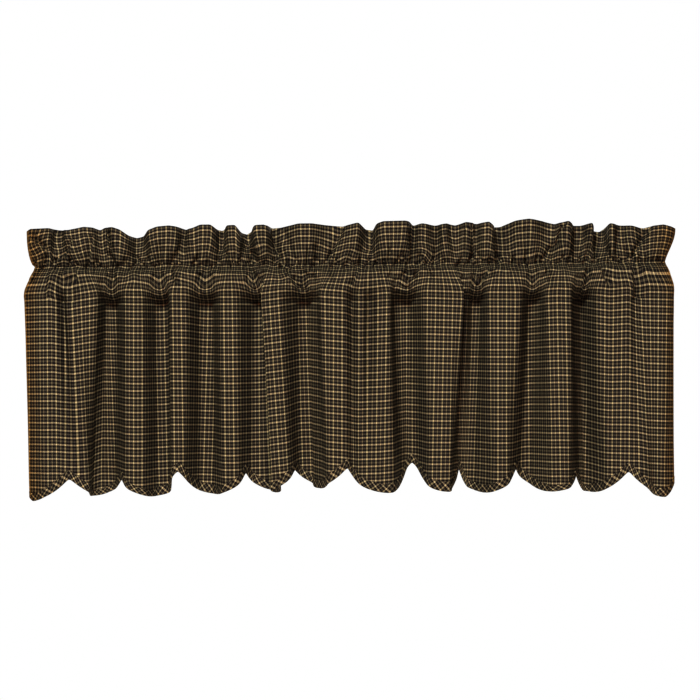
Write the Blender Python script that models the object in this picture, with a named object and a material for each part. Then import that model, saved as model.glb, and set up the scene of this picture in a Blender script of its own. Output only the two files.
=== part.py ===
"""Window valance of checked cotton, gathered on a rod that is not part of it.

Three sewn pieces, each one closed solid:
  heading      standing ruffle and, under it, the open pocket that the rod runs through
  panel        the gathered drop below the pocket, with a scalloped lower edge
  hem_binding  the bias strip folded over that edge

Axes: the origin is on the axis of the rod pocket, half way along the window. +X runs
along the rod to the right of someone in the room, +Y points from the room towards the
window, +Z is up. Lengths in the tables and constants are millimetres.

The cloth is described in plan, seen from above, by tables of its folds. "cloth" is the
distance along the flat cloth from its left end to the middle of the fold, "x" where that
middle hangs, "wide" how much of the cloth lies flat there, and "fore" how far it stands
in front of the rod's axis. Between two rows the cloth turns from one fold to the next.
"""
import math
from collections import namedtuple

import bpy
import numpy as np

MM = 0.001

# ---- driving dimensions -------------------------------------------------------------
SCALLOP_WIDTH = 142.5       # flat cloth from one notch to the next
SCALLOP_RADIUS = 88.0       # radius of each scallop's curve
COLUMNS_PER_SCALLOP = 12
COLUMN_COUNT = 134          # steps along the cloth, so it is 1591 mm wide laid flat
COLUMN = SCALLOP_WIDTH / COLUMNS_PER_SCALLOP
CLOTH_WIDTH = COLUMN * COLUMN_COUNT

LAYER = 1.2                 # one layer of the heading's cloth, as it is built
PANEL_THICK = 1.5
LEAF = 0.9                  # one leaf of the folded binding
BINDING_WIDTH = 12.0
GAP = 0.3                   # clearance between neighbouring pieces
BINDING_GAP = 0.4           # the same inside the folded binding, where the cloth bends most
RAW_EDGE = 1.6              # the panel's cut edge stops this far above the binding's fold
SLACK = 0.5                 # half the space left inside the pocket's two seams

SEAM_TOP = 28.0             # height of the seam between ruffle and pocket
SEAM_LOW = -28.0            # height of the seam between pocket and panel
HEM_LEVEL = -280.0          # height at which the hem's fold table holds
ROD_CLEARANCE = 14.8        # cloth stays this far from the rod's axis
LOOSE_LIMIT = 3.0           # and its front layer this far in front above and below the rod
BACK_FORE = -24.0           # where the pocket's back layer hangs
BACK_RIPPLE = 8.5           # and how far its own small folds swing from there
RIPPLE_COLUMNS = 4          # columns in one of them, and in one pucker of the seam above
ROD_SHARE = 0.42            # share of the pocket's height in which it spreads round the rod
GATHER_SHARE = 0.55         # and in which the seam's gathers open into the panel's folds
BACK_TURN = 0.68            # and after which the back layer turns forward under the rod
BACK_EVENING = 31           # columns over which the back layer's gathers are evened out
SEAM_EVENING = 7            # and those of the seam above the pocket
FOLD_ROUNDING = 18.0        # length of cloth over which a fold's corner is rounded

# ---- fold tables --------------------------------------------------------------------
Fold = namedtuple("Fold", "name cloth x wide fore")
Flute = namedtuple("Flute", "name cloth x wide fore height")
Scallop = namedtuple("Scallop", "tip notch_rise")

WAIST_FOLDS = [             # at the seam under the pocket
    Fold("left edge", 0, -487.5, 0, 0),
    Fold("first face", 53, -447, 24, 30.5),
    Fold("first groove", 73, -430, 0, 24),
    Fold("second face", 104, -400.5, 48, 33),
    Fold("second tuck", 158, -371, 0, -2),
    Fold("first valley", 189, -349.5, 18, -3.5),
    Fold("third face", 245.5, -322.5, 27, 30),
    Fold("second valley", 299, -283.5, 18, 0),
    Fold("fourth face", 353, -255.8, 26, 30),
    Fold("third valley", 408, -216.8, 20, -2),
    Fold("fifth face", 465, -180.8, 26, 28),
    Fold("fourth valley", 518, -141.8, 20, -2),
    Fold("sixth tuck", 552, -121.5, 0, -4),
    Fold("sixth face", 604, -117.8, 32, 31),
    Fold("fifth valley", 664, -67.5, 18, -2),
    Fold("seventh tuck", 708, -28.5, 0, 0),
    Fold("seventh face", 762, -24, 39, 30.5),
    Fold("seventh groove", 792, 3, 0, 24),
    Fold("eighth face", 808, 16.5, 12, 29),
    Fold("eighth groove", 822, 30.8, 0, 24),
    Fold("ninth face", 842.5, 50.2, 22.5, 29),
    Fold("ninth tuck", 884, 61.5, 0, -2),
    Fold("sixth valley", 912, 84.8, 16.5, -4),
    Fold("tenth face", 987.5, 141.8, 61.5, 30),
    Fold("tenth tuck", 1052, 163.5, 0, 0),
    Fold("tenth ridge", 1074, 177, 0, 10),
    Fold("seventh valley", 1108, 191.2, 13.5, -3),
    Fold("eleventh face", 1173.5, 231.8, 49.5, 29),
    Fold("eighth valley", 1236, 279, 12, -1),
    Fold("twelfth tuck", 1262, 297, 0, -2),
    Fold("twelfth face", 1305.5, 312.8, 37.5, 29),
    Fold("ninth tuck back", 1362, 319, 0, -6),
    Fold("ninth valley", 1412, 353.2, 7.5, -4),
    Fold("thirteenth face", 1473, 395.2, 49.5, 28),
    Fold("thirteenth groove", 1511, 428.2, 0, 20),
    Fold("fourteenth face", 1546.5, 456.8, 44, 27),
    Fold("right edge", CLOTH_WIDTH, 483, 0, 12),
]

HEM_FOLDS = [               # at the level of the notches
    Fold("left edge", 0, -483, 0, 8),
    Fold("first face", 66.5, -426, 66, 30.5),
    Fold("second tuck", 134, -402, 0, -3),
    Fold("first valley", 182.5, -364.5, 12, -4),
    Fold("third face", 245.5, -322.5, 27, 29),
    Fold("second valley", 301, -284.2, 22, 0),
    Fold("fourth face", 356, -258.9, 20, 30),
    Fold("third valley", 409, -219, 22, -2),
    Fold("fifth face", 466, -180, 24, 29),
    Fold("fourth valley", 526, -138, 24, -2),
    Fold("sixth tuck", 556, -108, 0, -4),
    Fold("sixth face", 608, -109.5, 24, 31),
    Fold("fifth valley", 661.5, -68.2, 19.5, -2),
    Fold("seventh ridge", 694, -43.5, 0, 14),
    Fold("seventh tuck", 720, -22.5, 0, 0),
    Fold("seventh face", 768, -20.2, 28.5, 30),
    Fold("seventh groove", 797, 3, 0, 21),
    Fold("eighth face", 837.5, 38.2, 49.5, 29.5),
    Fold("ninth tuck", 890, 60, 0, 0),
    Fold("sixth valley", 925.5, 92.2, 22.5, -4),
    Fold("tenth face", 985.5, 137.2, 25.5, 30),
    Fold("tenth tuck", 1034, 137, 8, -1),
    Fold("tenth ridge", 1068, 160, 4, 17),
    Fold("seventh valley", 1111.5, 183.8, 19.5, -3),
    Fold("eleventh face", 1173.5, 225.8, 19.5, 29),
    Fold("eighth valley", 1232.5, 264.8, 19.5, 0),
    Fold("twelfth face", 1305, 314.2, 25.5, 29),
    Fold("twelfth ridge", 1341, 340, 0, 12),
    Fold("ninth tuck back", 1375, 324, 10, -8),
    Fold("ninth valley", 1417, 354.8, 16.5, -5),
    Fold("thirteenth face", 1492.5, 412.5, 60, 28),
    Fold("thirteenth groove", 1549, 456, 0, 12),
    Fold("fourteenth face", 1562, 466.5, 6, 20),
    Fold("right edge", CLOTH_WIDTH, 483, 0, 8),
]

RUFFLE_FLUTES = [           # at the top edge, whose height above the rod goes up and down
    Flute("left edge", 0, -483, 0, 2, 82),
    Flute("first", 18, -465, 30, 12, 84),
    Flute("first dip", 61, -438, 12, -6, 82.5),
    Flute("second", 116, -405, 42, 12, 85),
    Flute("second dip", 164, -373.5, 12, -4, 82.5),
    Flute("third", 202, -345, 24, 12, 83.5),
    Flute("third dip", 250, -317.2, 13, -16, 71),
    Flute("fourth", 308, -280.5, 42, 12, 86),
    Flute("fourth dip", 353, -249.8, 7, -6, 80.5),
    Flute("fifth", 395, -222, 36, 10, 87),
    Flute("fifth dip", 440, -192, 12, -6, 79),
    Flute("sixth", 480, -173.2, 16, 10, 87),
    Flute("sixth dip", 522, -154.5, 12, -14, 74.5),
    Flute("seventh", 568, -132.8, 20, 14, 86.5),
    Flute("seventh dip", 613, -110.2, 14, -12, 82.5),
    Flute("eighth", 673, -66, 18, 9, 88.5),
    Flute("eighth dip", 734, -26.2, 16, -8, 85),
    Flute("ninth", 785, 11.2, 10, 12, 88.5),
    Flute("ninth dip", 824, 33, 12, -10, 78.5),
    Flute("tenth", 873, 66, 42, 14, 90.5),
    Flute("tenth dip", 920, 96.8, 8, -4, 84.5),
    Flute("eleventh", 947, 111.8, 10, 8, 86.5),
    Flute("eleventh dip", 976.5, 130.5, 9, -6, 84),
    Flute("twelfth", 1002, 141.8, 8, 8, 86),
    Flute("twelfth dip", 1031, 159, 14, -6, 84),
    Flute("thirteenth", 1070, 180, 12, 10, 87.5),
    Flute("thirteenth dip", 1098, 190.5, 3, -6, 86),
    Flute("fourteenth", 1131, 207, 15, 12, 88.5),
    Flute("fourteenth dip", 1172, 228, 12, -12, 81),
    Flute("fifteenth", 1224, 267.8, 20, 12, 91.5),
    Flute("fifteenth dip", 1277, 303.8, 13, -6, 86),
    Flute("sixteenth", 1320, 326.2, 16, 12, 88),
    Flute("sixteenth dip", 1368, 348, 12, -14, 82),
    Flute("seventeenth", 1405, 363, 6, 10, 86),
    Flute("seventeenth dip", 1437, 378, 15, -14, 72.5),
    Flute("eighteenth", 1473, 394.5, 6, 12, 84),
    Flute("eighteenth dip", 1498, 408.8, 8, -4, 81.5),
    Flute("nineteenth", 1520, 423.8, 8, 6, 79.5),
    Flute("corner crease", 1540, 439.5, 0, -4, 77),
    Flute("right corner", 1569, 468, 32, 10, 82),
    Flute("right edge", CLOTH_WIDTH, 489, 0, 2, 77.5),
]

SCALLOPS = [                # lowest point of each, and the rise to the notch on its right
    Scallop(-324, 31.5),
    Scallop(-318.5, 29),
    Scallop(-319, 39),
    Scallop(-317, 32),
    Scallop(-315, 31.5),
    Scallop(-309, 35),
    Scallop(-315, 43),
    Scallop(-314, 33),
    Scallop(-317.5, 34.5),
    Scallop(-315.5, 28),
    Scallop(-319, 36),
    Scallop(-325, 36),
]

SIDE_PINCH = 13.0           # how far in the two sides are drawn at the seam above the pocket
PINCH_REACH = 40.0          # and how fast that fades along the cloth
PUCKER = 1.5                # swing of the small puckers along that seam
PUCKER_CHANGE = 97.0        # length of cloth over which they grow and fade
RUFFLE_SHARE = 0.45         # how much of the ruffle's flutes the seam still shows
PANEL_SHARE = 0.12          # and how much of the panel's folds
MID_FORE = 14.0             # fore of a fold that leaves the seam on the rod's axis
FLUTE_SPREAD = 0.8          # how early, going up the ruffle, its flutes spread sideways
FLUTE_DEPTH = 0.6           # and how early they reach their full depth

RUFFLE_ROWS = (1.0, 0.45)                     # shares of the ruffle's height
POCKET_ROWS = (19.0, 8.0, -4.0, -16.0)        # heights
SEAM_INSET = 2.6                              # the pocket's hollow ends this far from a seam
PANEL_ROWS = (0.0, 0.2, 0.45, 0.72, 1.0)      # shares of the way down to the binding


# ---- plan curves --------------------------------------------------------------------
def cloth_steps():
    """Distances along the cloth of the columns that every piece is built on."""
    return np.linspace(0.0, CLOTH_WIDTH, COLUMN_COUNT + 1)


def fold_values(folds, field):
    """Fine profile of one field of a fold table along the cloth, corners rounded."""
    cloth, value = [], []
    for fold in folds:
        half = fold.wide / 2
        middle = getattr(fold, field)
        swing = half if field == "x" else 0.0
        if half:
            cloth += [fold.cloth - half, fold.cloth + half]
            value += [middle - swing, middle + swing]
        else:
            cloth.append(fold.cloth)
            value.append(middle)
    fine = np.arange(0.0, CLOTH_WIDTH + 0.5, 1.0)
    profile = np.interp(fine, cloth, value)
    reach = int(FOLD_ROUNDING)
    before = 2 * profile[0] - profile[reach:0:-1]
    after = 2 * profile[-1] - profile[-2:-reach - 2:-1]
    padded = np.concatenate([before, profile, after])
    window = np.hanning(reach + 2)[1:-1]
    smooth = np.convolve(padded, window / window.sum(), mode="same")
    return np.interp(cloth_steps(), fine, smooth[reach:-reach])


def plan_curve(folds):
    """x and y of every column, from a fold table."""
    return fold_values(folds, "x"), -fold_values(folds, "fore")


def plan_normals(x, y):
    """Unit normals towards the window, lengthened at bends so that offsets stay parallel."""
    step = np.stack([np.diff(x), np.diff(y)], axis=1)
    step /= np.linalg.norm(step, axis=1, keepdims=True)
    side = np.stack([-step[:, 1], step[:, 0]], axis=1)
    first = np.vstack([side[:1], side])
    last = np.vstack([side, side[-1:]])
    middle = first + last
    middle /= np.linalg.norm(middle, axis=1, keepdims=True)
    squeeze = np.clip((middle * last).sum(axis=1), 0.6, 1.0)
    return middle / squeeze[:, None]


def ease(share):
    """Smooth step from 0 to 1."""
    share = np.clip(share, 0.0, 1.0)
    return share * share * (3.0 - 2.0 * share)


def mix(first, second, share):
    return first + (second - first) * share


# ---- the shared curves --------------------------------------------------------------
CLOTH = cloth_steps()
WAIST_X, WAIST_Y = plan_curve(WAIST_FOLDS)
HEM_X, HEM_Y = plan_curve(HEM_FOLDS)
TOP_X, TOP_Y = plan_curve(RUFFLE_FLUTES)
TOP_HEIGHT = fold_values(RUFFLE_FLUTES, "height")
RIPPLE_PHASE = CLOTH * 2 * math.pi / (RIPPLE_COLUMNS * COLUMN)


def evened(values, window):
    """Values along the cloth averaged over an odd number of columns, ends kept."""
    pad = window // 2
    before = 2 * values[0] - values[pad:0:-1]
    after = 2 * values[-1] - values[-2:-pad - 2:-1]
    padded = np.concatenate([before, values, after])
    return np.convolve(padded, np.full(window, 1.0 / window), mode="valid")


def seam_curve():
    """The gathered seam between ruffle and pocket: shallow puckers, sides drawn in."""
    pinch = SIDE_PINCH * np.exp(-CLOTH / PINCH_REACH)
    pinch -= SIDE_PINCH * np.exp((CLOTH - CLOTH_WIDTH) / PINCH_REACH)
    x = evened((TOP_X + WAIST_X) / 2, SEAM_EVENING) + pinch
    pucker = np.sin(RIPPLE_PHASE + 0.6) * (PUCKER + np.sin(CLOTH / PUCKER_CHANGE))
    y = RUFFLE_SHARE * TOP_Y + PANEL_SHARE * (WAIST_Y + MID_FORE) + pucker
    return x, y


SEAM_X, SEAM_Y = seam_curve()


def back_curve():
    """The pocket's back layer, gathered in even small folds behind the rod."""
    return evened(WAIST_X, BACK_EVENING), -BACK_FORE + BACK_RIPPLE * np.cos(RIPPLE_PHASE)


BACK_X, BACK_Y = back_curve()


def rod_limit(height):
    """How far from the rod's axis, front or back, a layer stays at a height."""
    round_rod = math.sqrt(max(0.0, ROD_CLEARANCE ** 2 - height ** 2))
    return max(round_rod + LAYER / 2, LOOSE_LIMIT)


def front_layer(height):
    """Centre of the pocket's front layer: its valleys lie on the rod, its faces stand clear."""
    share = (SEAM_TOP - height) / (SEAM_TOP - SEAM_LOW)
    foremost, deepest = WAIST_Y.min(), WAIST_Y.max()
    squeeze = (-rod_limit(height) - foremost) / (deepest - foremost)
    folds = foremost + (WAIST_Y - foremost) * squeeze
    x = mix(SEAM_X, WAIST_X, ease(share / GATHER_SHARE))
    y = mix(SEAM_Y, folds, ease(share / ROD_SHARE))
    return x, y


def back_layer(height):
    """Centre of the pocket's back layer: behind the rod, then under it to the seam."""
    share = (SEAM_TOP - height) / (SEAM_TOP - SEAM_LOW)
    fall_in = ease((share - BACK_TURN) / (1.0 - BACK_TURN))
    x = mix(mix(SEAM_X, BACK_X, ease(share / ROD_SHARE)), WAIST_X, fall_in)
    y = mix(mix(SEAM_Y, BACK_Y, ease(share / ROD_SHARE)), WAIST_Y, fall_in)
    if abs(height) < ROD_CLEARANCE:
        y = np.maximum(y, rod_limit(height))
    return x, y


# ---- meshes -------------------------------------------------------------------------
def points(x, y, z):
    """One row of points, an array of COLUMN_COUNT + 1 by 3."""
    return np.stack([x, y, np.broadcast_to(z, x.shape)], axis=1)


def offset_row(x, y, z, distance):
    """A row moved towards the window by a distance square to the cloth."""
    normal = plan_normals(x, y)
    return points(x + normal[:, 0] * distance, y + normal[:, 1] * distance, z)


def tube_faces(rows, first=0):
    """Triangles of a closed ring of rows, numbered from first.

    Each four-sided patch is cut from its upper left to its lower right corner, so that
    neighbouring layers of cloth bend alike and keep their distance.
    """
    faces = []
    columns = COLUMN_COUNT + 1
    for number, row in enumerate(rows):
        following = (number + 1) % len(rows)
        goes_down = row[:, 2].mean() >= rows[following][:, 2].mean()
        for column in range(columns - 1):
            a = first + number * columns + column
            b = first + following * columns + column
            if goes_down:
                faces += [(a, b, b + 1), (a, b + 1, a + 1)]
            else:
                faces += [(a, b, a + 1), (b, b + 1, a + 1)]
    return faces


def link_piece(name, rows, faces, material):
    """Make one object from rows of millimetre points and its faces."""
    vertices = np.concatenate(rows) * MM
    mesh = bpy.data.meshes.new(name)
    mesh.from_pydata([tuple(map(float, vertex)) for vertex in vertices], [], faces)
    mesh.validate()
    mesh.update()
    mesh.shade_smooth()
    mesh.materials.append(material)
    piece = bpy.data.objects.new(name, mesh)
    bpy.context.scene.collection.objects.link(piece)
    return piece


def cap(corners, at_start):
    """End face of a tube, turned outwards at either end."""
    return tuple(corners) if at_start else tuple(reversed(corners))


def ruffle_row(share):
    """x, y and height of the ruffle at a share of its height above the seam."""
    x = mix(SEAM_X, TOP_X, ease(share ** FLUTE_SPREAD))
    y = mix(SEAM_Y, TOP_Y, share ** FLUTE_DEPTH)
    z = mix(SEAM_TOP, TOP_HEIGHT, share)
    return x, y, z


def make_heading(material):
    """Ruffle of two layers sewn together, opening below into the rod pocket."""
    columns = COLUMN_COUNT + 1
    front, back = [], []
    for share in RUFFLE_ROWS + (0.0,):
        x, y, z = ruffle_row(share)
        front.append(offset_row(x, y, z, -LAYER))
        back.append(offset_row(x, y, z, LAYER))
    for height in POCKET_ROWS:
        x, y = front_layer(height)
        front.append(offset_row(x, y, height, -LAYER / 2))
        x, y = back_layer(height)
        back.append(offset_row(x, y, height, LAYER / 2))
    front.append(offset_row(WAIST_X, WAIST_Y, SEAM_LOW, -LAYER))
    back.append(offset_row(WAIST_X, WAIST_Y, SEAM_LOW, LAYER))
    outer = front + back[::-1]

    inner_front, inner_back = [], []
    top_inset = SEAM_TOP - SEAM_INSET
    inner_front.append(offset_row(SEAM_X, SEAM_Y, top_inset, -SLACK))
    inner_back.append(offset_row(SEAM_X, SEAM_Y, top_inset, SLACK))
    for height in POCKET_ROWS:
        x, y = front_layer(height)
        inner_front.append(offset_row(x, y, height, LAYER / 2))
        x, y = back_layer(height)
        inner_back.append(offset_row(x, y, height, -LAYER / 2))
    low_inset = SEAM_LOW + SEAM_INSET
    inner_front.append(offset_row(WAIST_X, WAIST_Y, low_inset, -SLACK))
    inner_back.append(offset_row(WAIST_X, WAIST_Y, low_inset, SLACK))
    inner = inner_front + inner_back[::-1]

    outer_count, inner_count = len(outer), len(inner)
    faces = tube_faces(outer)
    hollow_start = outer_count * columns
    faces += [tuple(reversed(face)) for face in tube_faces(inner, hollow_start)]

    fins = len(RUFFLE_ROWS)
    rows_front = len(front)
    rows_inner = len(inner_front)
    for column, at_start in ((0, True), (columns - 1, False)):
        out = [row * columns + column for row in range(outer_count)]
        into = [hollow_start + row * columns + column for row in range(inner_count)]
        for row in range(fins):
            corners = (out[row], out[-1 - row], out[-2 - row], out[row + 1])
            faces.append(cap(corners, at_start))
        faces.append(cap((out[fins], out[-1 - fins], into[-1], into[0]), at_start))
        for row in range(rows_inner - 1):
            left = (out[fins + row], into[row], into[row + 1], out[fins + row + 1])
            right = (out[-1 - fins - row], out[-2 - fins - row], into[-2 - row], into[-1 - row])
            faces.append(cap(left, at_start))
            faces.append(cap(right, at_start))
        bottom = (out[rows_front - 1], into[rows_inner - 1], into[rows_inner], out[rows_front])
        faces.append(cap(bottom, at_start))
    return link_piece("heading", outer + inner, faces, material)


def scallop_edge(radius):
    """Heights of the scalloped edge, or of a line concentric with it, and the edge's slope."""
    place = CLOTH / SCALLOP_WIDTH
    nearest = np.rint(place).astype(int)
    across = (place - nearest) * SCALLOP_WIDTH
    tips = np.array([scallop.tip for scallop in SCALLOPS], dtype=float)
    rises = np.array([scallop.notch_rise for scallop in SCALLOPS])
    right = np.clip(nearest + 1, 0, len(tips) - 1)
    left = np.clip(nearest - 1, 0, len(tips) - 1)
    neighbour = np.where(across >= 0, right, left)
    rise = np.where(across >= 0, rises[nearest], rises[left])
    share = np.abs(across) / (SCALLOP_WIDTH / 2)
    level = mix(tips[nearest], (tips[nearest] + tips[neighbour]) / 2, share)
    full_rise = SCALLOP_RADIUS - math.sqrt(SCALLOP_RADIUS ** 2 - (SCALLOP_WIDTH / 2) ** 2)
    curve = SCALLOP_RADIUS - np.sqrt(radius ** 2 - across ** 2)
    slope = np.abs(across) / SCALLOP_RADIUS
    return level + curve * rise / full_rise, slope


def hanging_row(height):
    """x and y of the panel's cloth, where height may differ from column to column."""
    share = (SEAM_LOW - height) / (SEAM_LOW - HEM_LEVEL)
    return mix(WAIST_X, HEM_X, share), mix(WAIST_Y, HEM_Y, share)


def make_panel(material):
    """The gathered drop, from the pocket's seam to just inside the fold of the binding."""
    columns = COLUMN_COUNT + 1
    edge, slope = scallop_edge(SCALLOP_RADIUS)
    binding_top, _ = scallop_edge(SCALLOP_RADIUS - BINDING_WIDTH)
    heights = [mix(SEAM_LOW - GAP, binding_top, share) for share in PANEL_ROWS]
    heights.append(edge + (LEAF + RAW_EDGE) / np.sqrt(1 - slope ** 2))
    front, back = [], []
    for height in heights:
        x, y = hanging_row(height)
        front.append(offset_row(x, y, height, -PANEL_THICK / 2))
        back.append(offset_row(x, y, height, PANEL_THICK / 2))
    rows = front + back[::-1]
    faces = tube_faces(rows)
    for column, at_start in ((0, True), (columns - 1, False)):
        ring = [row * columns + column for row in range(len(rows))]
        for row in range(len(front) - 1):
            corners = (ring[row], ring[-1 - row], ring[-2 - row], ring[row + 1])
            faces.append(cap(corners, at_start))
    return link_piece("panel", rows, faces, material)


def make_binding(material):
    """Bias strip folded over the scalloped edge, one leaf on each side of the panel."""
    columns = COLUMN_COUNT + 1
    edge, slope = scallop_edge(SCALLOP_RADIUS)
    upper, _ = scallop_edge(SCALLOP_RADIUS - BINDING_WIDTH)
    fold = edge + LEAF / np.sqrt(1 - slope ** 2)
    near = PANEL_THICK / 2 + BINDING_GAP
    far = near + LEAF
    section = [(upper, -far), (edge, -far), (edge, far), (upper, far),
               (upper, near), (fold, near), (fold, -near), (upper, -near)]
    rows = []
    for height, distance in section:
        x, y = hanging_row(height)
        rows.append(offset_row(x, y, height, distance))
    faces = tube_faces(rows)
    for column, at_start in ((0, True), (columns - 1, False)):
        ring = [row * columns + column for row in range(len(rows))]
        for corners in ((0, 7, 6, 1), (1, 6, 5, 2), (2, 5, 4, 3)):
            faces.append(cap([ring[corner] for corner in corners], at_start))
    return link_piece("hem_binding", rows, faces, material)


# ---- materials ----------------------------------------------------------------------
def cloth_material(name, colour, roughness):
    material = bpy.data.materials.new(name)
    material.use_nodes = True
    shader = material.node_tree.nodes["Principled BSDF"]
    shader.inputs["Base Color"].default_value = (*colour, 1.0)
    shader.inputs["Roughness"].default_value = roughness
    shader.inputs["Metallic"].default_value = 0.0
    material.diffuse_color = (*colour, 1.0)
    return material


def clear_scene():
    for item in list(bpy.data.objects):
        bpy.data.objects.remove(item, do_unlink=True)


def main():
    clear_scene()
    make_heading(cloth_material("checked_cotton_heading", (0.085, 0.068, 0.045), 0.9))
    make_panel(cloth_material("checked_cotton_panel", (0.075, 0.060, 0.040), 0.9))
    make_binding(cloth_material("bias_cut_cotton_binding", (0.060, 0.046, 0.030), 0.9))


main()
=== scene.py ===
"""Looks of the checked window valance: fine cloth, weave, bias binding and stitching.

Lengths are millimetres in the tables and functions and become metres when a mesh is made.
+X runs along the rod to the right, +Y towards the window, +Z up, and the rod's axis is at 0.
Every cloth carries its own flat coordinates, in millimetres across and down the cloth, so
the check follows each fold as woven.
"""
import math
import random
from collections import namedtuple

import bpy
import numpy as np
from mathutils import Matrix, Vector


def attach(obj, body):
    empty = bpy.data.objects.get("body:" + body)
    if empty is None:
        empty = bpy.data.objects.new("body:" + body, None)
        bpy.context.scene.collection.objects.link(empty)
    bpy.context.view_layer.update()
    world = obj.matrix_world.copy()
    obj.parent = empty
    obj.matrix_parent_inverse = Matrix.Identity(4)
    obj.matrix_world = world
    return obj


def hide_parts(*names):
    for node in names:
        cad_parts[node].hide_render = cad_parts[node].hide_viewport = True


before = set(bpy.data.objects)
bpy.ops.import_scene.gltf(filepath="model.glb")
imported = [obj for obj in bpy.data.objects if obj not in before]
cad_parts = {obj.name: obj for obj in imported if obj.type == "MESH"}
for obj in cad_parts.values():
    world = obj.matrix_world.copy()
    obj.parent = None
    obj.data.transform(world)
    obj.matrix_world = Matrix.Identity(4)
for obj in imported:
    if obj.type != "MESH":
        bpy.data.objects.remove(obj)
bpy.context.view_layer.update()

MM = 0.001

# ---- sizes of the cloth -------------------------------------------------------------
CLOTH_WIDTH = 1591.25       # flat width between the side edges
CLOTH_THICK = 0.6
SIDE_HEM = 13.0             # width of the turned side hems
HEM_GAP = 0.9               # and how far behind the cloth they lie
SEAM_TOP = 28.0             # height of the seam between ruffle and pocket
SEAM_LOW = -28.0            # height of the seam between pocket and panel
HEM_LEVEL = -280.0          # height at which the hem's fold table holds
SCALLOP_WIDTH = 142.5       # flat cloth from one notch to the next
SCALLOP_RADIUS = 88.0       # radius of each scallop's curve
EDGE_INSIDE = 2.0           # the panel's cut edge stops this far above the binding's fold
BLUNT_DROP = 0.7            # how much lower a blunt notch's sides hang, against its bluntness
BLUNT_REACH = 0.85          # and how far it is filled on both sides
RUFFLE_CLOTH = 60.0         # cloth in one layer of the ruffle, from seam to top fold
TOP_FOLD = 0.6              # and from its front layer to the top of that fold

# ---- how the cloth lies -------------------------------------------------------------
FOLD_ROUNDING = 18.0        # length of cloth over which a fold's corner is rounded
OUTLINE_ROUNDING = 5.0      # the same for the top fold's outline
LIFT_ROUNDING = 12.0        # and for the weft's lift and the warp's shift
SHIFT_ROUNDING = 8.0
LIFT_END = 1.3              # both tables are followed to this share of the drop
LIFT_START = 1.4            # and the lift is whole before the pocket's lower seam
FRONT_PLANE = 32.0          # how far forward the folds' faces stand
WAIST_DEPTH = 1.65          # the grooves' depth against the solid's, at the seam and the hem
HEM_DEPTH = 1.93
FLUTE_DEPTH = 1.6           # and that of the ruffle's flutes
RUFFLE_LEAN = 0.8           # how evenly the flutes deepen from the seam to the top fold
SPREADING = 0.8             # and how evenly they spread across
SPREAD_SOONER = 0.45        # which they do sooner by this at the left edge
SOONER_REACH = 25.0         # and over this much cloth beside it
TOP_RISE = 0.5              # how far the top fold itself stands over its outline
PUFF = 0.5                  # how far the ruffle's two layers part at the least
PUFF_MORE = 1.3             # and how much more half way up
PUFF_SHAPE = 0.7            # a puff or sag is blunter than a plain arch by this power

CRISP = 3.6                 # how far a lip's edge takes to fall
LIP_RISE = 0.4              # how far it stands up first, against its depth
TROUGH_FLAT = 1.15          # a trough's floor is flat where this takes it past its depth
RELIEF = 2.2                # every crease's depth against its table
CREASE_END = 4.0            # creases fade out this far past their ends
HIDDEN_ACROSS = 3.0         # cloth hidden in a lip's fold, across and down the cloth
HIDDEN_DOWN = 4.5
HIDDEN_REACH = 26.0         # and how soon the weave finds its place again

GATHER_SPACING = 8.5        # from one small crease at the seam to the next
BACK_SPACING = 14.0         # and on the pocket's back layer
GATHER_SPREAD = (0.5, 1.6)  # least and most of that distance
SHORT_GATHER = (6, 11)      # how far they run
LONG_GATHER = (11, 24)
SHORT_SHARE = 0.6           # how many of them are short
GATHER_LEAN = 0.7
GATHER_DEPTH = (2.2, 6.0)
GATHER_LIPS = (0, 0, 0, 1, -1)  # three soft troughs to two lips
DOWN_DEPTH = 0.7            # those in the pocket are shallower by this
TROUGH_WIDE = (1.9, 3.0)
LIP_WIDE = (3, 5)
SEAM_EVENING = 83.0         # cloth over which the seam's gathers are evened out along it
SEAM_SMOOTHING = 30.0       # and in depth
SEAM_AS_RUFFLE = 0.45       # how far the seam follows the flutes above it
SEAM_AS_PANEL = 0.12        # and the folds below it, which lie about this far forward
PANEL_MIDDLE = 14.0
SEAM_PULL = 2.6             # how far the stitches draw the cloth back at the seam
SEAM_REACH = 3.6            # and how near to the seam
PULL_UNEVEN = 0.5           # share of it that comes and goes along the seam
PULL_WAVES = (7.3, 19.0)    # in two waves, each turning by a radian in this much cloth
SIDE_PINCH = 13.0           # how far in the sides are drawn at the seam under the ruffle
PINCH_REACH = 40.0          # and how fast that fades along the cloth
PUCKER = 2.2                # how far the threads wander beside the seam
PUCKER_REACH = 13.0         # and how near to it
PUCKER_ACROSS = (4.3, 2.0, 23.0)  # length, swing and drift of the waves across the cloth
PUCKER_DOWN = (5.9, 2.5, 17.0)    # and of those down it
PUCKER_TURNS = ((6.0, 31.0), (9.0, 41.0))  # and how fast both change sides, up and across

ROD_CLEARANCE = 14.8        # the pocket's cloth stays this far from the rod's axis
ROD_NEAR = 3.0              # and this far in front above and below the rod
ROD_HUGGED = -11.0          # the valleys lie on the rod down to this height
ROD_LEFT = -5.0             # where the shallow ones start to leave it
LEFT_LATER = 9.0            # and how much lower the deep ones do
CLOSED_BACK = 5.0           # under the seam the cloth lies this far behind the faces
BULGE_SHARE = 0.27          # share of the pocket's height over which its faces swell forward
BULGE_CHANGE = 0.07         # and how uneven it is along the cloth
BULGE_WAVE = (31.0, 2.0, 97.0)  # with the length, swing and drift of its waves
OPENING_LATE = 0.85         # shallow valleys open further below the seam than deep ones
OPENING_PACE = 2.1
OPENING_SOFT = 0.5
SPREAD_SHARE = 0.85         # share of the pocket's height in which the gathers open across
POCKET_TAKES = 10.8         # cloth that the swelling takes up, more than its height
VALLEY_START = 20.0         # cloth less far forward than this lies in a valley
VALLEY_DEPTH = 34.0         # and this much further back on its floor
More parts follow.
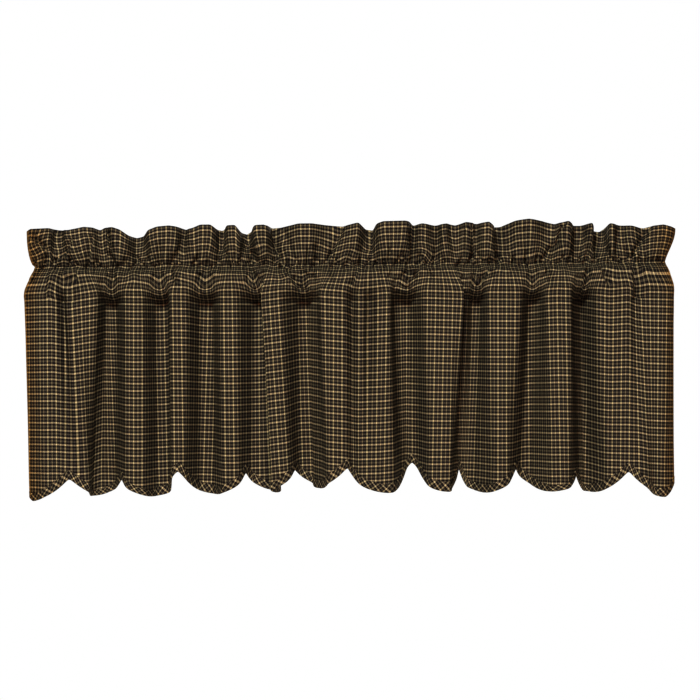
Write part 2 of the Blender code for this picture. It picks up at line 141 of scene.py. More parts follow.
VALLEY_EVENING = 34.0       # cloth over which a valley's floor is rounded
VALLEY_BESIDE = 14.0        # how far past its flat part a valley reaches
VALLEY_AWAY = 0.4           # a groove that isn't a named valley counts for this much of one
VALLEY_SAG = 13.0           # how far the weft sags in the pocket's valleys
SAG_TOP = 34.0              # how far below the upper seam it is whole
SAG_LOW = 22.0              # and how far above the lower
WRINKLE = 3.4               # depth of the swags of slack cloth there
SWAGS_TO = 22.0             # height at which the swags end
SWAGS_PAST = 2.0            # and how far below the lower seam
SWAGS_FADE = (8.0, 16.0)    # height over which they start there, and end at the top
SWAG_SLOPE = 20.0           # cloth across which a swag droops by its lean
FLUTE_SAG = 4.0             # how far the weft sags between the ruffle's flutes
DIP_START = -8.0            # a dip is less far forward than this
DIP_DEPTH = 20.0            # and whole this much further back
DIP_EVENING = 14.0          # cloth over which it is rounded
FLUTE_RISE = 0.35           # and how much the weft rises on a flute, against the sag

BACK_FORE = -24.0           # where the pocket's back layer hangs
BACK_RIPPLE = 8.5           # and how far its small folds swing from there
RIPPLE = 47.5               # cloth in one of them
BACK_EVENING = 368.0        # cloth over which its gathers are evened out
BACK_SPREAD = 0.42          # share of the pocket's height in which it spreads round the rod
BACK_TURN = 0.68            # and after which it turns forward under the rod
BACK_TURNING = 0.32
BACK_SLOPE = 1.12           # cloth in it against its height

# ---- fineness of the meshes ---------------------------------------------------------
COLUMN = 1.95               # cloth between two columns of points
PANEL_ROWS = 54
POCKET_ROWS = 29
RUFFLE_ROWS = 17
BACK_RUFFLE_ROWS = 6
BACK_POCKET_ROWS = 8

CLOTH = np.linspace(0.0, CLOTH_WIDTH, int(round(CLOTH_WIDTH / COLUMN)) + 1)
STEP = CLOTH[1] - CLOTH[0]

# ---- fold tables --------------------------------------------------------------------
# cloth: distance along the flat cloth from its left end to the middle of the fold;
# x: where that middle hangs; wide: how much lies flat; fore: how far it stands forward
Fold = namedtuple("Fold", "name cloth x wide fore")
Outline = namedtuple("Outline", "x height")
Swag = namedtuple("Swag", "name hang lean pitch start strength")
Scallop = namedtuple("Scallop", "tip notch_rise blunt")
Corner = namedtuple("Corner", "name cloth reach rise")
Lift = namedtuple("Lift", "name cloth waist hem")
Shift = namedtuple("Shift", "name cloth wide waist hem")
Crease = namedtuple("Crease", "name x z x_end z_end wide depth lip")
Turn = namedtuple("Turn", "name x z reach degrees")


def table(kind, rows):
    """The rows of a table, each with the named columns of its kind."""
    return [kind(*row) for row in rows]


WAIST_FOLDS = table(Fold, [  # at the seam under the pocket
    ("left edge", 0, -487.5, 0, 21),
    ("first face", 53, -447, 24, 30.5),
    ("first groove", 73, -430, 0, 8),
    ("second face", 104, -400.5, 48, 33),
    ("second tuck", 158, -371, 0, -2),
    ("first valley", 189, -357, 9, -3.5),
    ("third face", 245.5, -322.5, 27, 30),
    ("second valley", 299, -283.5, 18, 0),
    ("fourth face", 353, -255.8, 26, 30),
    ("third valley", 408, -216.8, 20, -2),
    ("fifth face", 465, -180.8, 26, 28),
    ("fourth valley", 520, -140, 10, -2),
    ("sixth tuck", 552, -121.5, 0, -4),
    ("sixth face", 604, -117.8, 32, 31),
    ("fifth valley", 664, -69, 12, -2),
    ("seventh tuck", 712, -48, 0, 14),
    ("seventh face", 762, -24, 39, 30.5),
    ("seventh groove", 792, 3, 0, 8),
    ("eighth face", 808, 16.5, 12, 27),
    ("eighth groove", 822, 30.8, 0, 11),
    ("ninth face", 842.5, 50.2, 22.5, 29),
    ("ninth tuck", 884, 66, 0, 0),
    ("sixth valley", 912, 86, 9, -4),
    ("tenth face", 987.5, 141.8, 61.5, 30),
    ("tenth tuck", 1052, 163.5, 0, 0),
    ("tenth ridge", 1074, 177, 0, 10),
    ("seventh valley", 1108, 191.2, 13.5, -3),
    ("eleventh face", 1173.5, 231.8, 49.5, 29),
    ("eighth valley", 1234, 274.5, 8, -2),
    ("twelfth tuck", 1262, 288, 0, 8),
    ("twelfth face", 1305.5, 312.8, 37.5, 29),
    ("ninth tuck back", 1364, 338, 0, 4),
    ("ninth valley", 1408, 352, 0, -14),
    ("thirteenth face", 1473, 395.2, 49.5, 28),
    ("thirteenth groove", 1511, 428.2, 0, 20),
    ("fourteenth face", 1546.5, 456.8, 44, 27),
    ("right edge", CLOTH_WIDTH, 486.5, 0, 22),
])

HEM_FOLDS = table(Fold, [  # at the level of the notches
    ("left edge", 0, -483, 0, 21),
    ("first face", 66.5, -426, 66, 30.5),
    ("second tuck", 141, -391, 0, 1),
    ("first valley", 182.5, -362, 5, -5),
    ("third face", 245.5, -322.5, 27, 29),
    ("second valley", 301, -284.2, 20, 4),
    ("fourth face", 356, -258.9, 20, 30),
    ("third valley", 409, -219, 22, -2),
    ("fifth face", 466, -180, 24, 29),
    ("fourth valley", 526, -139, 24, 5),
    ("sixth tuck", 556, -108, 0, -4),
    ("sixth face", 611, -107, 30, 31),
    ("fifth valley", 661.5, -69, 22, -2),
    ("seventh ridge", 694, -56, 0, 0),
    ("seventh tuck", 722, -44, 0, 14),
    ("seventh face", 768, -20.2, 28.5, 30),
    ("seventh groove", 797, 3, 0, 21),
    ("eighth face", 837.5, 38.2, 49.5, 29.5),
    ("ninth tuck", 892, 75, 0, 2),
    ("sixth valley", 926, 93, 16, -5),
    ("tenth face", 982, 133, 33, 30),
    ("tenth tuck", 1034, 156, 0, 5),
    ("tenth ridge", 1066, 163, 0, -2),
    ("seventh valley", 1111.5, 182, 8, -3),
    ("eleventh face", 1173.5, 225.8, 19.5, 29),
    ("eighth valley", 1232.5, 264, 15, -4),
    ("twelfth face", 1305, 314.2, 25.5, 29),
    ("twelfth ridge", 1341, 336, 0, 16),
    ("ninth tuck back", 1375, 346, 0, -2),
    ("ninth valley", 1417, 357, 6, -6),
    ("thirteenth face", 1492.5, 412.5, 60, 28),
    ("thirteenth groove", 1549, 456, 0, 23),
    ("fourteenth face", 1562, 466.5, 6, 27),
    ("right edge", CLOTH_WIDTH, 485.5, 0, 20),
])

RUFFLE_FLUTES = table(Fold, [  # at the top edge
    ("left edge", 0, -483, 0, 8),
    ("first", 18, -465, 30, 12),
    ("first dip", 61, -438, 12, -6),
    ("second", 116, -405, 42, 12),
    ("second dip", 164, -373.5, 12, -4),
    ("third", 202, -345, 24, 12),
    ("third dip", 250, -317.2, 13, -16),
    ("fourth", 308, -280.5, 42, 12),
    ("fourth dip", 353, -249.8, 7, -6),
    ("fifth", 395, -222, 36, 10),
    ("fifth dip", 440, -192, 12, -6),
    ("sixth", 480, -173.2, 16, 10),
    ("sixth dip", 522, -154.5, 12, -14),
    ("seventh", 568, -132.8, 20, 14),
    ("seventh dip", 613, -110.2, 14, -12),
    ("eighth", 673, -66, 18, 9),
    ("eighth dip", 734, -26.2, 16, -8),
    ("ninth", 785, 11.2, 10, 12),
    ("ninth dip", 824, 33, 12, -10),
    ("tenth", 873, 66, 42, 14),
    ("tenth dip", 920, 96.8, 8, -4),
    ("eleventh", 947, 111.8, 10, 8),
    ("eleventh dip", 976.5, 130.5, 9, -6),
    ("twelfth", 1002, 141.8, 8, 8),
    ("twelfth dip", 1031, 159, 14, -6),
    ("thirteenth", 1070, 180, 12, 10),
    ("thirteenth dip", 1098, 190.5, 3, -6),
    ("fourteenth", 1131, 207, 15, 12),
    ("fourteenth dip", 1172, 228, 12, -12),
    ("fifteenth", 1224, 267.8, 20, 12),
    ("fifteenth dip", 1277, 303.8, 13, -6),
    ("sixteenth", 1320, 326.2, 16, 12),
    ("sixteenth dip", 1368, 348, 12, -14),
    ("seventeenth", 1405, 363, 6, 10),
    ("seventeenth dip", 1437, 378, 15, -14),
    ("eighteenth", 1473, 394.5, 6, 12),
    ("eighteenth dip", 1498, 408.8, 8, -4),
    ("nineteenth", 1520, 423.8, 8, 6),
    ("corner crease", 1540, 439.5, 0, -4),
    ("right corner", 1569, 468, 32, 10),
    ("right edge", CLOTH_WIDTH, 491.5, 0, 2),
])

OUTLINE = table(Outline, [  # height of the top fold above the rod, from left to right
    (-489, 77), (-478, 83.5), (-450, 84.5), (-436, 82.2),
    (-422, 81.3), (-410, 83.5), (-398, 86), (-384, 84.8),
    (-375, 81.5), (-368, 85.3), (-355, 85.3), (-344, 81.5),
    (-331, 72.5), (-321, 70), (-311, 72.5), (-301, 80.5),
    (-288, 85.5), (-270, 87), (-256, 84.8), (-245, 81),
    (-235, 83), (-223, 88), (-208, 88), (-198, 80.5),
    (-190, 79.5), (-184, 86.5), (-171, 87), (-163, 76.5),
    (-154, 74), (-147, 79), (-141, 86.3), (-128, 86.8),
    (-116, 83.3), (-104, 83.5), (-76, 88.5), (-55, 88.5),
    (-28, 86), (-10, 84), (0, 86), (14, 89), (25, 79.5),
    (37, 78.5), (41, 87), (52, 90.5), (84, 91), (92, 90),
    (97, 84.5), (110, 87.2), (130, 84.3), (148, 87), (160, 84.3),
    (176, 88.5), (193, 86), (210, 88.5), (218, 82), (229, 82),
    (250, 90), (270, 92.5), (292, 89.2), (310, 84.8),
    (330, 88.8), (337, 83), (350, 82.7), (366, 85.7), (370, 75),
    (379, 73), (387, 78), (391, 84.8), (408, 82), (426, 81),
    (443, 77), (457, 80.5), (472, 82.2), (484, 79), (492, 76),
])

# tip: the scallop's lowest point; notch_rise: how far the notch on its right lies above it;
# blunt: how much the binding's folds round that notch off
SCALLOPS = table(Scallop, [
    (-324, 31.5, 3.4),
    (-318.5, 26, 3),
    (-319, 39, 4.5),
    (-317, 32, 3),
    (-315, 31.5, 3.4),
    (-309, 35, 3),
    (-315, 44, 7),
    (-314, 33, 3),
    (-317.5, 34.5, 3.4),
    (-315.5, 24, 3.4),
    (-319, 36, 3),
    (-325, 36, 3),
])

CORNERS = table(Corner, [  # the hem's lower corners, rounded off
    ("left", 0, 9, 5),
    ("right", CLOTH_WIDTH, 24, 15),
])

LIFTS = table(Lift, [  # how far the weft is drawn up, or hangs low, on each fold
    ("left edge", 0, -5.7, -5.0),
    ("first face", 53, -4.8, -5.4),
    ("first groove", 73, -8.5, -6.9),
    ("second face, left", 85, -9.2, -6.9),
    ("second face", 104, -5.9, -5.6),
    ("second face, right", 128, -2.6, -5.1),
    ("first valley, left", 158, 0.4, 1.8),
    ("first valley, right", 203, -0.3, 0.4),
    ("third face", 245, -2.1, -2.1),
    ("second valley", 299, -2.5, -1.7),
    ("fourth face, left", 340, 2.0, 1.0),
    ("fourth face, right", 366, 1.2, 0.9),
    ("third valley", 408, -2.4, -1.0),
    ("fifth face", 465, -3.1, -2.9),
    ("fourth valley", 518, -3.1, -2.2),
    ("sixth face, left", 588, 1.5, 0.6),
    ("sixth face, right", 620, 5.2, 4.5),
    ("fifth valley, left", 655, 9.5, 12.0),
    ("fifth valley, right", 673, 9.6, 12.4),
    ("seventh face, left", 742, 7.2, 6.7),
    ("seventh face, right", 781, 3.9, 3.2),
    ("seventh groove", 792, 0.3, 1.4),
    ("eighth face", 808, -1.6, 0.5),
    ("ninth face", 842, 0.8, 1.1),
    ("sixth valley", 912, 3.6, 7.0),
    ("tenth face, left", 960, 3.8, 3.3),
    ("tenth face, right", 1015, 1.4, 3.3),
    ("tenth ridge", 1074, 1.2, 3.3),
    ("seventh valley", 1108, 0.8, 2.8),
    ("eleventh face, left", 1150, 0.8, 1.8),
    ("eleventh face, right", 1195, 0.1, 1.6),
    ("eighth valley", 1236, 2.4, 5.0),
    ("twelfth face", 1305, 5.4, 5.2),
    ("ninth valley, left", 1405, 0.6, 2.7),
    ("ninth valley, right", 1420, -0.9, 1.2),
    ("thirteenth face, left", 1450, -4.8, -2.4),
    ("thirteenth face", 1468, -7.2, -3.6),
    ("thirteenth face, right", 1495, -5.0, -4.8),
    ("thirteenth groove", 1511, -9.3, -5.1),
    ("fourteenth face, left", 1530, -11.4, -8.9),
    ("fourteenth face, right", 1570, -12.7, -10.5),
    ("right edge", CLOTH_WIDTH, -13.0, -10.8),
])

SHIFTS = table(Shift, [  # how far the warp is drawn to the right on each fold
    ("first face", 45, 44, -3.3, -11.7),
    ("second face", 104, 20, 1.1, -1.1),
    ("first valley", 186, 12, -1.2, 8.1),
    ("third face", 245, 27, 1.9, -0.5),
    ("second valley", 300, 18, -6.1, -0.3),
    ("fourth face", 354, 22, -1.5, 5.6),
    ("third valley", 408, 20, 1.3, -5.5),
    ("fifth face", 465, 24, -3.3, -2.5),
    ("fourth valley", 522, 20, -2.0, 2.1),
    ("sixth face", 606, 26, 0.8, 9.7),
    ("fifth valley", 663, 18, 1.0, 4.3),
    ("seventh face", 765, 30, 6.9, 6.4),
    ("eighth face", 812, 8, -1.6, 3.1),
    ("ninth face", 842, 20, 3.0, 4.5),
    ("sixth valley", 918, 16, 4.2, 4.7),
    ("tenth face", 986, 30, 1.7, -2.1),
    ("seventh valley", 1110, 14, 2.4, 3.5),
    ("eleventh face", 1173, 24, -1.1, 2.8),
    ("eighth valley", 1234, 12, 0.3, 10.9),
    ("twelfth face", 1305, 25, -2.5, -1.7),
    ("ninth valley", 1414, 8, 5.0, -5.0),
    ("thirteenth face", 1473, 48, 0.8, -1.4),
    ("fourteenth face", 1550, 30, 3.3, 4.5),
])

# Creases run down the front from one point to another. lip 0 is a soft trough. Lip 1 has the
# cloth on its left lying over the cloth on its right, and lip -1 the other way round.
CREASES = table(Crease, [
    ("corner turn", -480, 70, -453, 47, 9, 5, 1),
    ("corner turn, low", -453, 47, -456, 30, 6, 5, 0),
    ("first step", -447, 84, -451, 30, 8, 2.5, 1),
    ("second edge", -410, 66, -430, 38, 8, 3, -1),
    ("second edge, low", -430, 38, -434, 24, 6, 3, 0),
    ("narrow flute, left", -381, 74, -390, 24, 8, 3.5, -1),
    ("narrow flute, right", -368, 78, -361, 48, 8, 6, 1),
    ("narrow flute, right low", -361, 48, -351, 24, 5, 7, 0),
    ("dip, left", -326, 46, -306, 22, 4, 5, 0),
    ("dip, right", -301, 60, -309, 33, 6, 3, 0),
    ("small crease", -285, 62, -285, 28, 4, 3, 0),
    ("third lip", -255, 74, -262, 46, 7, 4.5, 1),
    ("third lip, low", -262, 46, -269, 24, 5, 5, 0),
    ("fifth flute, right", -197, 72, -195, 30, 4, 5, 0),
    ("sixth flute, left", -184, 90, -187, 46, 9, 4.5, -1),
    ("sixth flute, right", -163, 78, -167, 32, 8, 4, 1),
    ("turned fold", -143, 84, -150, 49, 9, 5, -1),
    ("turned fold, low", -150, 49, -138, 30, 7, 5, 0),
    ("seventh lip", -121.5, 90, -117, 56, 12, 6.5, 1),
    ("seventh lip, low", -117, 56, -104, 25, 9, 7.5, 1),
    ("wide flute, left", -98, 80, -84, 36, 6, 3, 0),
    ("wide crease", -50, 58, -48, 28, 5, 5, 0),
    ("eighth edge", -2, 84, -26, 38, 9, 3.5, -1),
    ("eighth slope", 24, 78, 19, 44, 8, 3.5, 0),
    ("ninth edge", 39.5, 90, 38, 44, 9, 4.5, -1),
    ("ninth lip", 90, 90, 90, 36, 9, 6, 1),
    ("tenth flute, right", 136, 80, 131, 34, 6, 4, 0),
    ("eleventh crease", 173.5, 84, 173.5, 34, 4, 3.5, 0),
    ("eleventh lip", 188, 84, 189.5, 32, 8, 4, -1),
    ("twelfth lip", 217, 92, 218, 34, 13, 7, 1),
    ("thirteenth slope", 262, 80, 267, 36, 9, 3, 0),
    ("fourteenth lip", 317, 88, 308, 54, 9, 5, 1),
    ("fourteenth lip, low", 308, 54, 288, 27, 5, 5, 0),
    ("fifteenth flute, right", 338, 84, 339, 36, 6, 4, 0),
    ("sixteenth slope", 356, 78, 361, 36, 7, 4.5, 0),
    ("sixteenth lip", 368, 84, 367.5, 34, 7, 5, 1),
    ("last notch, right", 391, 84, 391.5, 36, 12, 4.5, -1),
    ("seventeenth crease", 403, 74, 402, 34, 4, 3.5, 0),
    ("corner crease", 458, 80, 427, 29, 8, 5, -1),
    ("beside the first groove", -421, 14, -412, -27, 13, 4, 0),
    ("under the narrow flute", -357, 24, -352, 2, 5, 4, 0),
    ("under the third lip", -268, 22, -262, -2, 5, 4, 1),
    ("under the seventh lip", -100, 25, -78, -14, 6, 5, 1),
    ("under the ninth edge", 20, 26, 6, -6, 6, 3.5, -1),
    ("under the tenth flute", 112, 26, 98, 2, 6, 3.5, -1),
    ("under the thirteenth flute", 214, 24, 200, -4, 6, 4, -1),
    ("under the fourteenth lip", 296, 25, 302, -4, 5, 3.5, 0),
    ("under the sixteenth lip", 372, 24, 384, -8, 6, 3.5, 1),
    ("thirteenth groove, upper", 421, 23, 425, -30, 9, 3.5, 1),
    ("under the first step", -452, 24, -455, -20, 8, 2.5, 1),
    ("over the first groove", -434, 20, -430, -30, 7, 2.5, 0),
    ("under the second edge", -408, 24, -404, 4, 5, 3, -1),
])

# Swags of slack cloth in the pocket, a row for each valley of the waist from left to right.
# hang: how far the middle of each droops below its ends; lean: how much more it droops on its
# right; pitch: from one swag to the next; start: where the first one lies
SWAGS = table(Swag, [
    ("first valley", 17, 5, 10.5, 0, 1.2),
    ("second valley", 24, -4, 8.5, 3, 1.0),
    ("third valley", 15, 6, 11.5, 6, 0.8),
    ("fourth valley", 21, -7, 9.5, 1, 1.1),
    ("fifth valley", 26, 2, 8.2, 4, 1.5),
    ("sixth valley", 19, -8, 10, 2, 1.3),
    ("seventh valley", 22, 6, 9, 5, 1.4),
    ("eighth valley", 14, -3, 12, 0, 0.9),
    ("ninth valley", 20, 7, 9.2, 3, 1.2),
])

TURNS = table(Turn, [  # places where the gathers twist the cloth, seen from the front
    ("left corner", -466, 54, 19, 27),
    ("turned fold", -142, 44, 11, -32),
    ("beside the seventh lip", -101, 46, 13, 22),
    ("eighth flute, foot", 4, 44, 10, -18),
    ("tenth flute, foot", 116, 36, 13, -36),
    ("thirteenth flute, foot", 225, 34, 9, 16),
    ("fourteenth flute, foot", 296, 42, 14, -22),
    ("sixteenth flute, foot", 362, 30, 9, -24),
    ("under the first lip", -330, 12, 10, 18),
    ("under the turned fold", -150, 8, 9, -20),
    ("under the wide flute", -98, 12, 11, 24),
    ("under the twelfth lip", 196, 12, 10, -22),
])


# ---- plan curves --------------------------------------------------------------------
def rounded(stops, values, rounding, places=CLOTH, width=CLOTH_WIDTH):
    """Values read along the cloth from a broken line whose corners are rounded."""
    fine = np.arange(0.0, width + 0.5, 1.0)
    profile = np.interp(fine, stops, values)
    reach = int(rounding)
    before = 2 * profile[0] - profile[reach:0:-1]
    after = 2 * profile[-1] - profile[-2:-reach - 2:-1]
    padded = np.concatenate([before, profile, after])
    window = np.hanning(reach + 2)[1:-1]
    smooth = np.convolve(padded, window / window.sum(), mode="same")
    return np.interp(places, fine, smooth[reach:-reach])


def fold_values(folds, field):
    """One field of a fold table, read along the cloth."""
    stops, values = [], []
    for fold in folds:
        half = fold.wide / 2
        middle = getattr(fold, field)
        swing = half if field == "x" else 0.0
        if half:
            stops += [fold.cloth - half, fold.cloth + half]
            values += [middle - swing, middle + swing]
        else:
            stops.append(fold.cloth)
            values.append(middle)
    return rounded(stops, values, FOLD_ROUNDING)


def ease(share):
    """Smooth step from 0 to 1."""
    share = np.clip(share, 0.0, 1.0)
    return share * share * (3.0 - 2.0 * share)


def mix(first, second, share):
    """From the first value to the second by a share."""
    return first + (second - first) * share


def evened(values, length):
    """Values along the cloth averaged over a length of it, ends kept."""
    pad = int(length / STEP / 2)
    before = 2 * values[0] - values[pad:0:-1]
    after = 2 * values[-1] - values[-2:-pad - 2:-1]
    padded = np.concatenate([before, values, after])
    window = np.full(2 * pad + 1, 1.0 / (2 * pad + 1))
    return np.convolve(padded, window, mode="valid")


def deepened(fore, depth):
    """The grooves set further back than the solid's, so that their sides fall steeply."""
    return FRONT_PLANE - (FRONT_PLANE - fore) * depth


def wandering(place, length, swing, drift):
    """A wave from -1 to 1 whose length wanders.

    length and drift are the millimetres in which a wave turns by one radian."""
    return np.sin(place / length + swing * np.sin(place / drift))


def pocket_share(height):
    """0 at the seam under the ruffle, 1 at the seam under the pocket."""
    return (SEAM_TOP - height) / (SEAM_TOP - SEAM_LOW)


def drop_share(height):
    """0 at the seam under the pocket, 1 at the level of the hem's fold table."""
    return (SEAM_LOW - height) / (SEAM_LOW - HEM_LEVEL)


WAIST_X = fold_values(WAIST_FOLDS, "x")
WAIST_Y = -deepened(fold_values(WAIST_FOLDS, "fore"), WAIST_DEPTH)
HEM_X = fold_values(HEM_FOLDS, "x")
HEM_Y = -deepened(fold_values(HEM_FOLDS, "fore"), HEM_DEPTH)
TOP_X = fold_values(RUFFLE_FLUTES, "x")
TOP_Y = -fold_values(RUFFLE_FLUTES, "fore")
OUTLINE_LEFT = OUTLINE[0].x
TOP_Z = rounded([point.x - OUTLINE_LEFT for point in OUTLINE], [point.height for point in OUTLINE],
                OUTLINE_ROUNDING, TOP_X - OUTLINE_LEFT, OUTLINE[-1].x - OUTLINE_LEFT)
LIFT_STOPS = [lift.cloth for lift in LIFTS]
WAIST_LIFT = rounded(LIFT_STOPS, [lift.waist for lift in LIFTS], LIFT_ROUNDING)
HEM_LIFT = rounded(LIFT_STOPS, [lift.hem for lift in LIFTS], LIFT_ROUNDING)
SHIFT_STOPS = [shift.cloth + side * shift.wide / 2 for shift in SHIFTS for side in (-1, 1)]
WAIST_SHIFT = rounded(SHIFT_STOPS, np.repeat([shift.waist for shift in SHIFTS], 2),
                      SHIFT_ROUNDING)
HEM_SHIFT = rounded(SHIFT_STOPS, np.repeat([shift.hem for shift in SHIFTS], 2), SHIFT_ROUNDING)
POCKET_BULGE = BULGE_SHARE + BULGE_CHANGE * wandering(CLOTH, *BULGE_WAVE)
RUFFLE_DIP = evened(ease((TOP_Y - DIP_START) / DIP_DEPTH), DIP_EVENING) - FLUTE_RISE

# How far each column lies in a valley: 0 on the faces, 1 in the middle of the deepest floor
RECESS = ease((VALLEY_START + WAIST_Y) / VALLEY_DEPTH)
VALLEYS = [fold for fold in WAIST_FOLDS if "valley" in fold.name]
NEARNESS = np.max([1.0 - np.abs(CLOTH - fold.cloth) / (fold.wide / 2 + VALLEY_BESIDE)
                   for fold in VALLEYS], axis=0)
VALLEY_MIDDLE = evened(RECESS, VALLEY_EVENING)
VALLEY_MIDDLE = VALLEY_MIDDLE * mix(VALLEY_AWAY, 1.0, np.clip(NEARNESS, 0.0, 1.0))
VALLEY_MIDDLE = VALLEY_MIDDLE / VALLEY_MIDDLE.max()
SWAG_PLACES = np.array([fold.cloth for fold in VALLEYS])


def swag_values(field):
    """One field of the swags' table, read along the cloth."""
    return np.interp(CLOTH, SWAG_PLACES, [getattr(swag, field) for swag in SWAGS])


SWAG_PITCH = swag_values("pitch")
SWAG_STRENGTH = swag_values("strength")
NEAREST = np.argmin([np.abs(CLOTH - place) for place in SWAG_PLACES], axis=0)
BESIDE = CLOTH - SWAG_PLACES[NEAREST]
SWAG_HANG = (swag_values("start") + swag_values("hang") * VALLEY_MIDDLE
             + np.array([swag.lean for swag in SWAGS])[NEAREST] * BESIDE / SWAG_SLOPE)


# ---- gathers ------------------------------------------------------------------------
def gathers(seed, spacing, direction):
    """Small uneven creases that run up or down from the seam under the ruffle."""
    dice = random.Random(seed)
    creases = []
    place = SEAM_X[0] + dice.uniform(2, spacing)
    while place < SEAM_X[-1] - 3:
        length = dice.uniform(*(SHORT_GATHER if dice.random() < SHORT_SHARE else LONG_GATHER))
        lean = dice.uniform(-GATHER_LEAN, GATHER_LEAN) * length
        depth = dice.uniform(*GATHER_DEPTH) * (1.0 if direction > 0 else DOWN_DEPTH)
        lip = dice.choice(GATHER_LIPS)
        wide = dice.uniform(*(LIP_WIDE if lip else TROUGH_WIDE))
        start = (place, SEAM_TOP - 2 * direction)
        end = (place + lean, SEAM_TOP + direction * length)
        upper, lower = (end, start) if direction > 0 else (start, end)
        creases.append(Crease("gather", *upper, *lower, wide, depth, lip))
        place += spacing * dice.uniform(*GATHER_SPREAD)
    return creases


def crease_places(crease, x, z):
    """How far places lie along a crease and to its right, and the crease's length."""
    run = np.array([crease.x_end - crease.x, crease.z_end - crease.z], dtype=float)
    length = math.hypot(*run)
    run /= length
    x, z = x - crease.x, z - crease.z
    return x * run[0] + z * run[1], z * run[0] - x * run[1], length


def crease_fade(along, length, run):
    """1 along most of a crease, falling to 0 past its ends over a run of cloth."""
    return ease((along + CREASE_END) / run) * ease((length + CREASE_END - along) / run)


def carved(x, y, z, creases):
    """Moves y back or forward for each crease, for the points of a row."""
    y = y.copy()
    z = np.broadcast_to(z, x.shape)
    for crease in creases:
        along, beside, length = crease_places(crease, x, z)
        near = ((np.abs(beside) < 4 * crease.wide) & (along > -CREASE_END)
                & (along < length + CREASE_END))
        if not near.any():
            continue
        fade = crease_fade(along[near], length, 2 * CREASE_END)
        beside = beside[near]
        if crease.lip:
            side = beside * crease.lip
            over = -LIP_RISE * np.exp(np.minimum(side, 0) / crease.wide)
            under = np.clip(1.0 - (side - CRISP) / crease.wide, 0.0, 1.0)
            shape = mix(over, under, ease(side / CRISP))
        else:
            shape = np.clip(TROUGH_FLAT - np.abs(beside) / crease.wide, 0.0, 1.0)
        y[near] += RELIEF * crease.depth * shape * fade
    return y


def seam_line():
    """x and y of the seam under the ruffle, before its puckers."""
    pinch = SIDE_PINCH * np.exp(-CLOTH / PINCH_REACH)
    pinch -= SIDE_PINCH * np.exp((CLOTH - CLOTH_WIDTH) / PINCH_REACH)
    x = evened((TOP_X + WAIST_X) / 2, SEAM_EVENING) + pinch
    y = SEAM_AS_RUFFLE * TOP_Y + SEAM_AS_PANEL * (WAIST_Y + PANEL_MIDDLE)
    return x, evened(y, SEAM_SMOOTHING)


SEAM_X, SEAM_Y = seam_line()
UP_GATHERS = gathers(11, GATHER_SPACING, 1)
DOWN_GATHERS = gathers(23, GATHER_SPACING, -1)
BACK_GATHERS = gathers(37, BACK_SPACING, -1)


def rod_limit(height):
    """How far from the rod's axis a layer stays at a height."""
    return math.sqrt(max(ROD_NEAR ** 2, ROD_CLEARANCE ** 2 - height ** 2)) + CLOTH_THICK


def seam_pull(height):
    """How far the line of stitches draws the cloth back between its bulges."""
    short, long = PULL_WAVES
    uneven = 1.0 + PULL_UNEVEN * np.sin(SEAM_X / short) * np.sin(SEAM_X / long + 1.0)
    return SEAM_PULL * uneven * np.exp(-((height - SEAM_TOP) / SEAM_REACH) ** 2)


def pocket_front(height):
    """x and y of the pocket's front layer: valleys lie on the rod, faces stand clear."""
    share = pocket_share(height)
    foremost, deepest = WAIST_Y.min(), WAIST_Y.max()
    squeeze = (-rod_limit(max(height, ROD_HUGGED)) - foremost) / (deepest - foremost)
    folds = foremost + (WAIST_Y - foremost) * squeeze
    later = LEFT_LATER * VALLEY_MIDDLE
    leaving = ease((ROD_LEFT - later - height) / (ROD_LEFT - SEAM_LOW - later))
    folds = mix(folds, WAIST_Y, leaving)
    if abs(height) < ROD_CLEARANCE:
        folds = np.minimum(folds, -rod_limit(height))
    swelling = ease(share / POCKET_BULGE)
    closed = mix(SEAM_Y, foremost + CLOSED_BACK, swelling)
    opening = ease((VALLEY_MIDDLE - OPENING_LATE + OPENING_PACE * share) / OPENING_SOFT)
    x = mix(SEAM_X, WAIST_X, ease(share / SPREAD_SHARE))
    y = mix(closed, mix(SEAM_Y, folds, swelling), opening)
    y = y + seam_pull(height) + recess_wrinkles(height)
    return x, carved(x, y, height, DOWN_GATHERS + CREASES)


def recess_wrinkles(height):
    """Swags of slack cloth that hang over and under the rod between two faces."""
    low, high = SWAGS_FADE
    level = ease((height - SEAM_LOW + SWAGS_PAST) / low) * ease((SWAGS_TO - height) / high)
    wave = np.sin(2 * math.pi * (height + SWAG_HANG) / SWAG_PITCH)
    return WRINKLE * SWAG_STRENGTH * VALLEY_MIDDLE * level * wave


def taken_up(height):
    """Cloth that the pocket takes up where its faces swell forward under the seam."""
    return POCKET_TAKES * (1.0 - ease(pocket_share(height) / POCKET_BULGE))


def recess_sag(height):
    """How far the weft sags in the valleys of the pocket."""
    near = min((SEAM_TOP - height) / SAG_TOP, (height - SEAM_LOW) / SAG_LOW)
    return VALLEY_SAG * VALLEY_MIDDLE * np.clip(near, 0.0, 1.0)


def pocket_back(height):
    """x and y of the pocket's back layer: behind the rod, then under it to the seam."""
    share = pocket_share(height)
    spread = ease(share / BACK_SPREAD)
    fall_in = ease((share - BACK_TURN) / BACK_TURNING)
    back_y = -BACK_FORE + BACK_RIPPLE * np.cos(CLOTH * 2 * math.pi / RIPPLE)
    x = mix(mix(SEAM_X, evened(WAIST_X, BACK_EVENING), spread), WAIST_X, fall_in)
    y = mix(mix(SEAM_Y, back_y, spread), WAIST_Y, fall_in)
    if abs(height) < ROD_CLEARANCE:
        y = np.maximum(y, rod_limit(height))
    return x, carved(x, y, height, BACK_GATHERS)


def arch(share):
    """A blunt arch from 0 at the seam through 1 half way up to 0 at the top fold."""
    return np.sin(math.pi * min(share, 1.0)) ** PUFF_SHAPE


def ruffle_sag(share):
    """How far the weft hangs down in the dips between the ruffle's flutes."""
    return FLUTE_SAG * RUFFLE_DIP * arch(share)


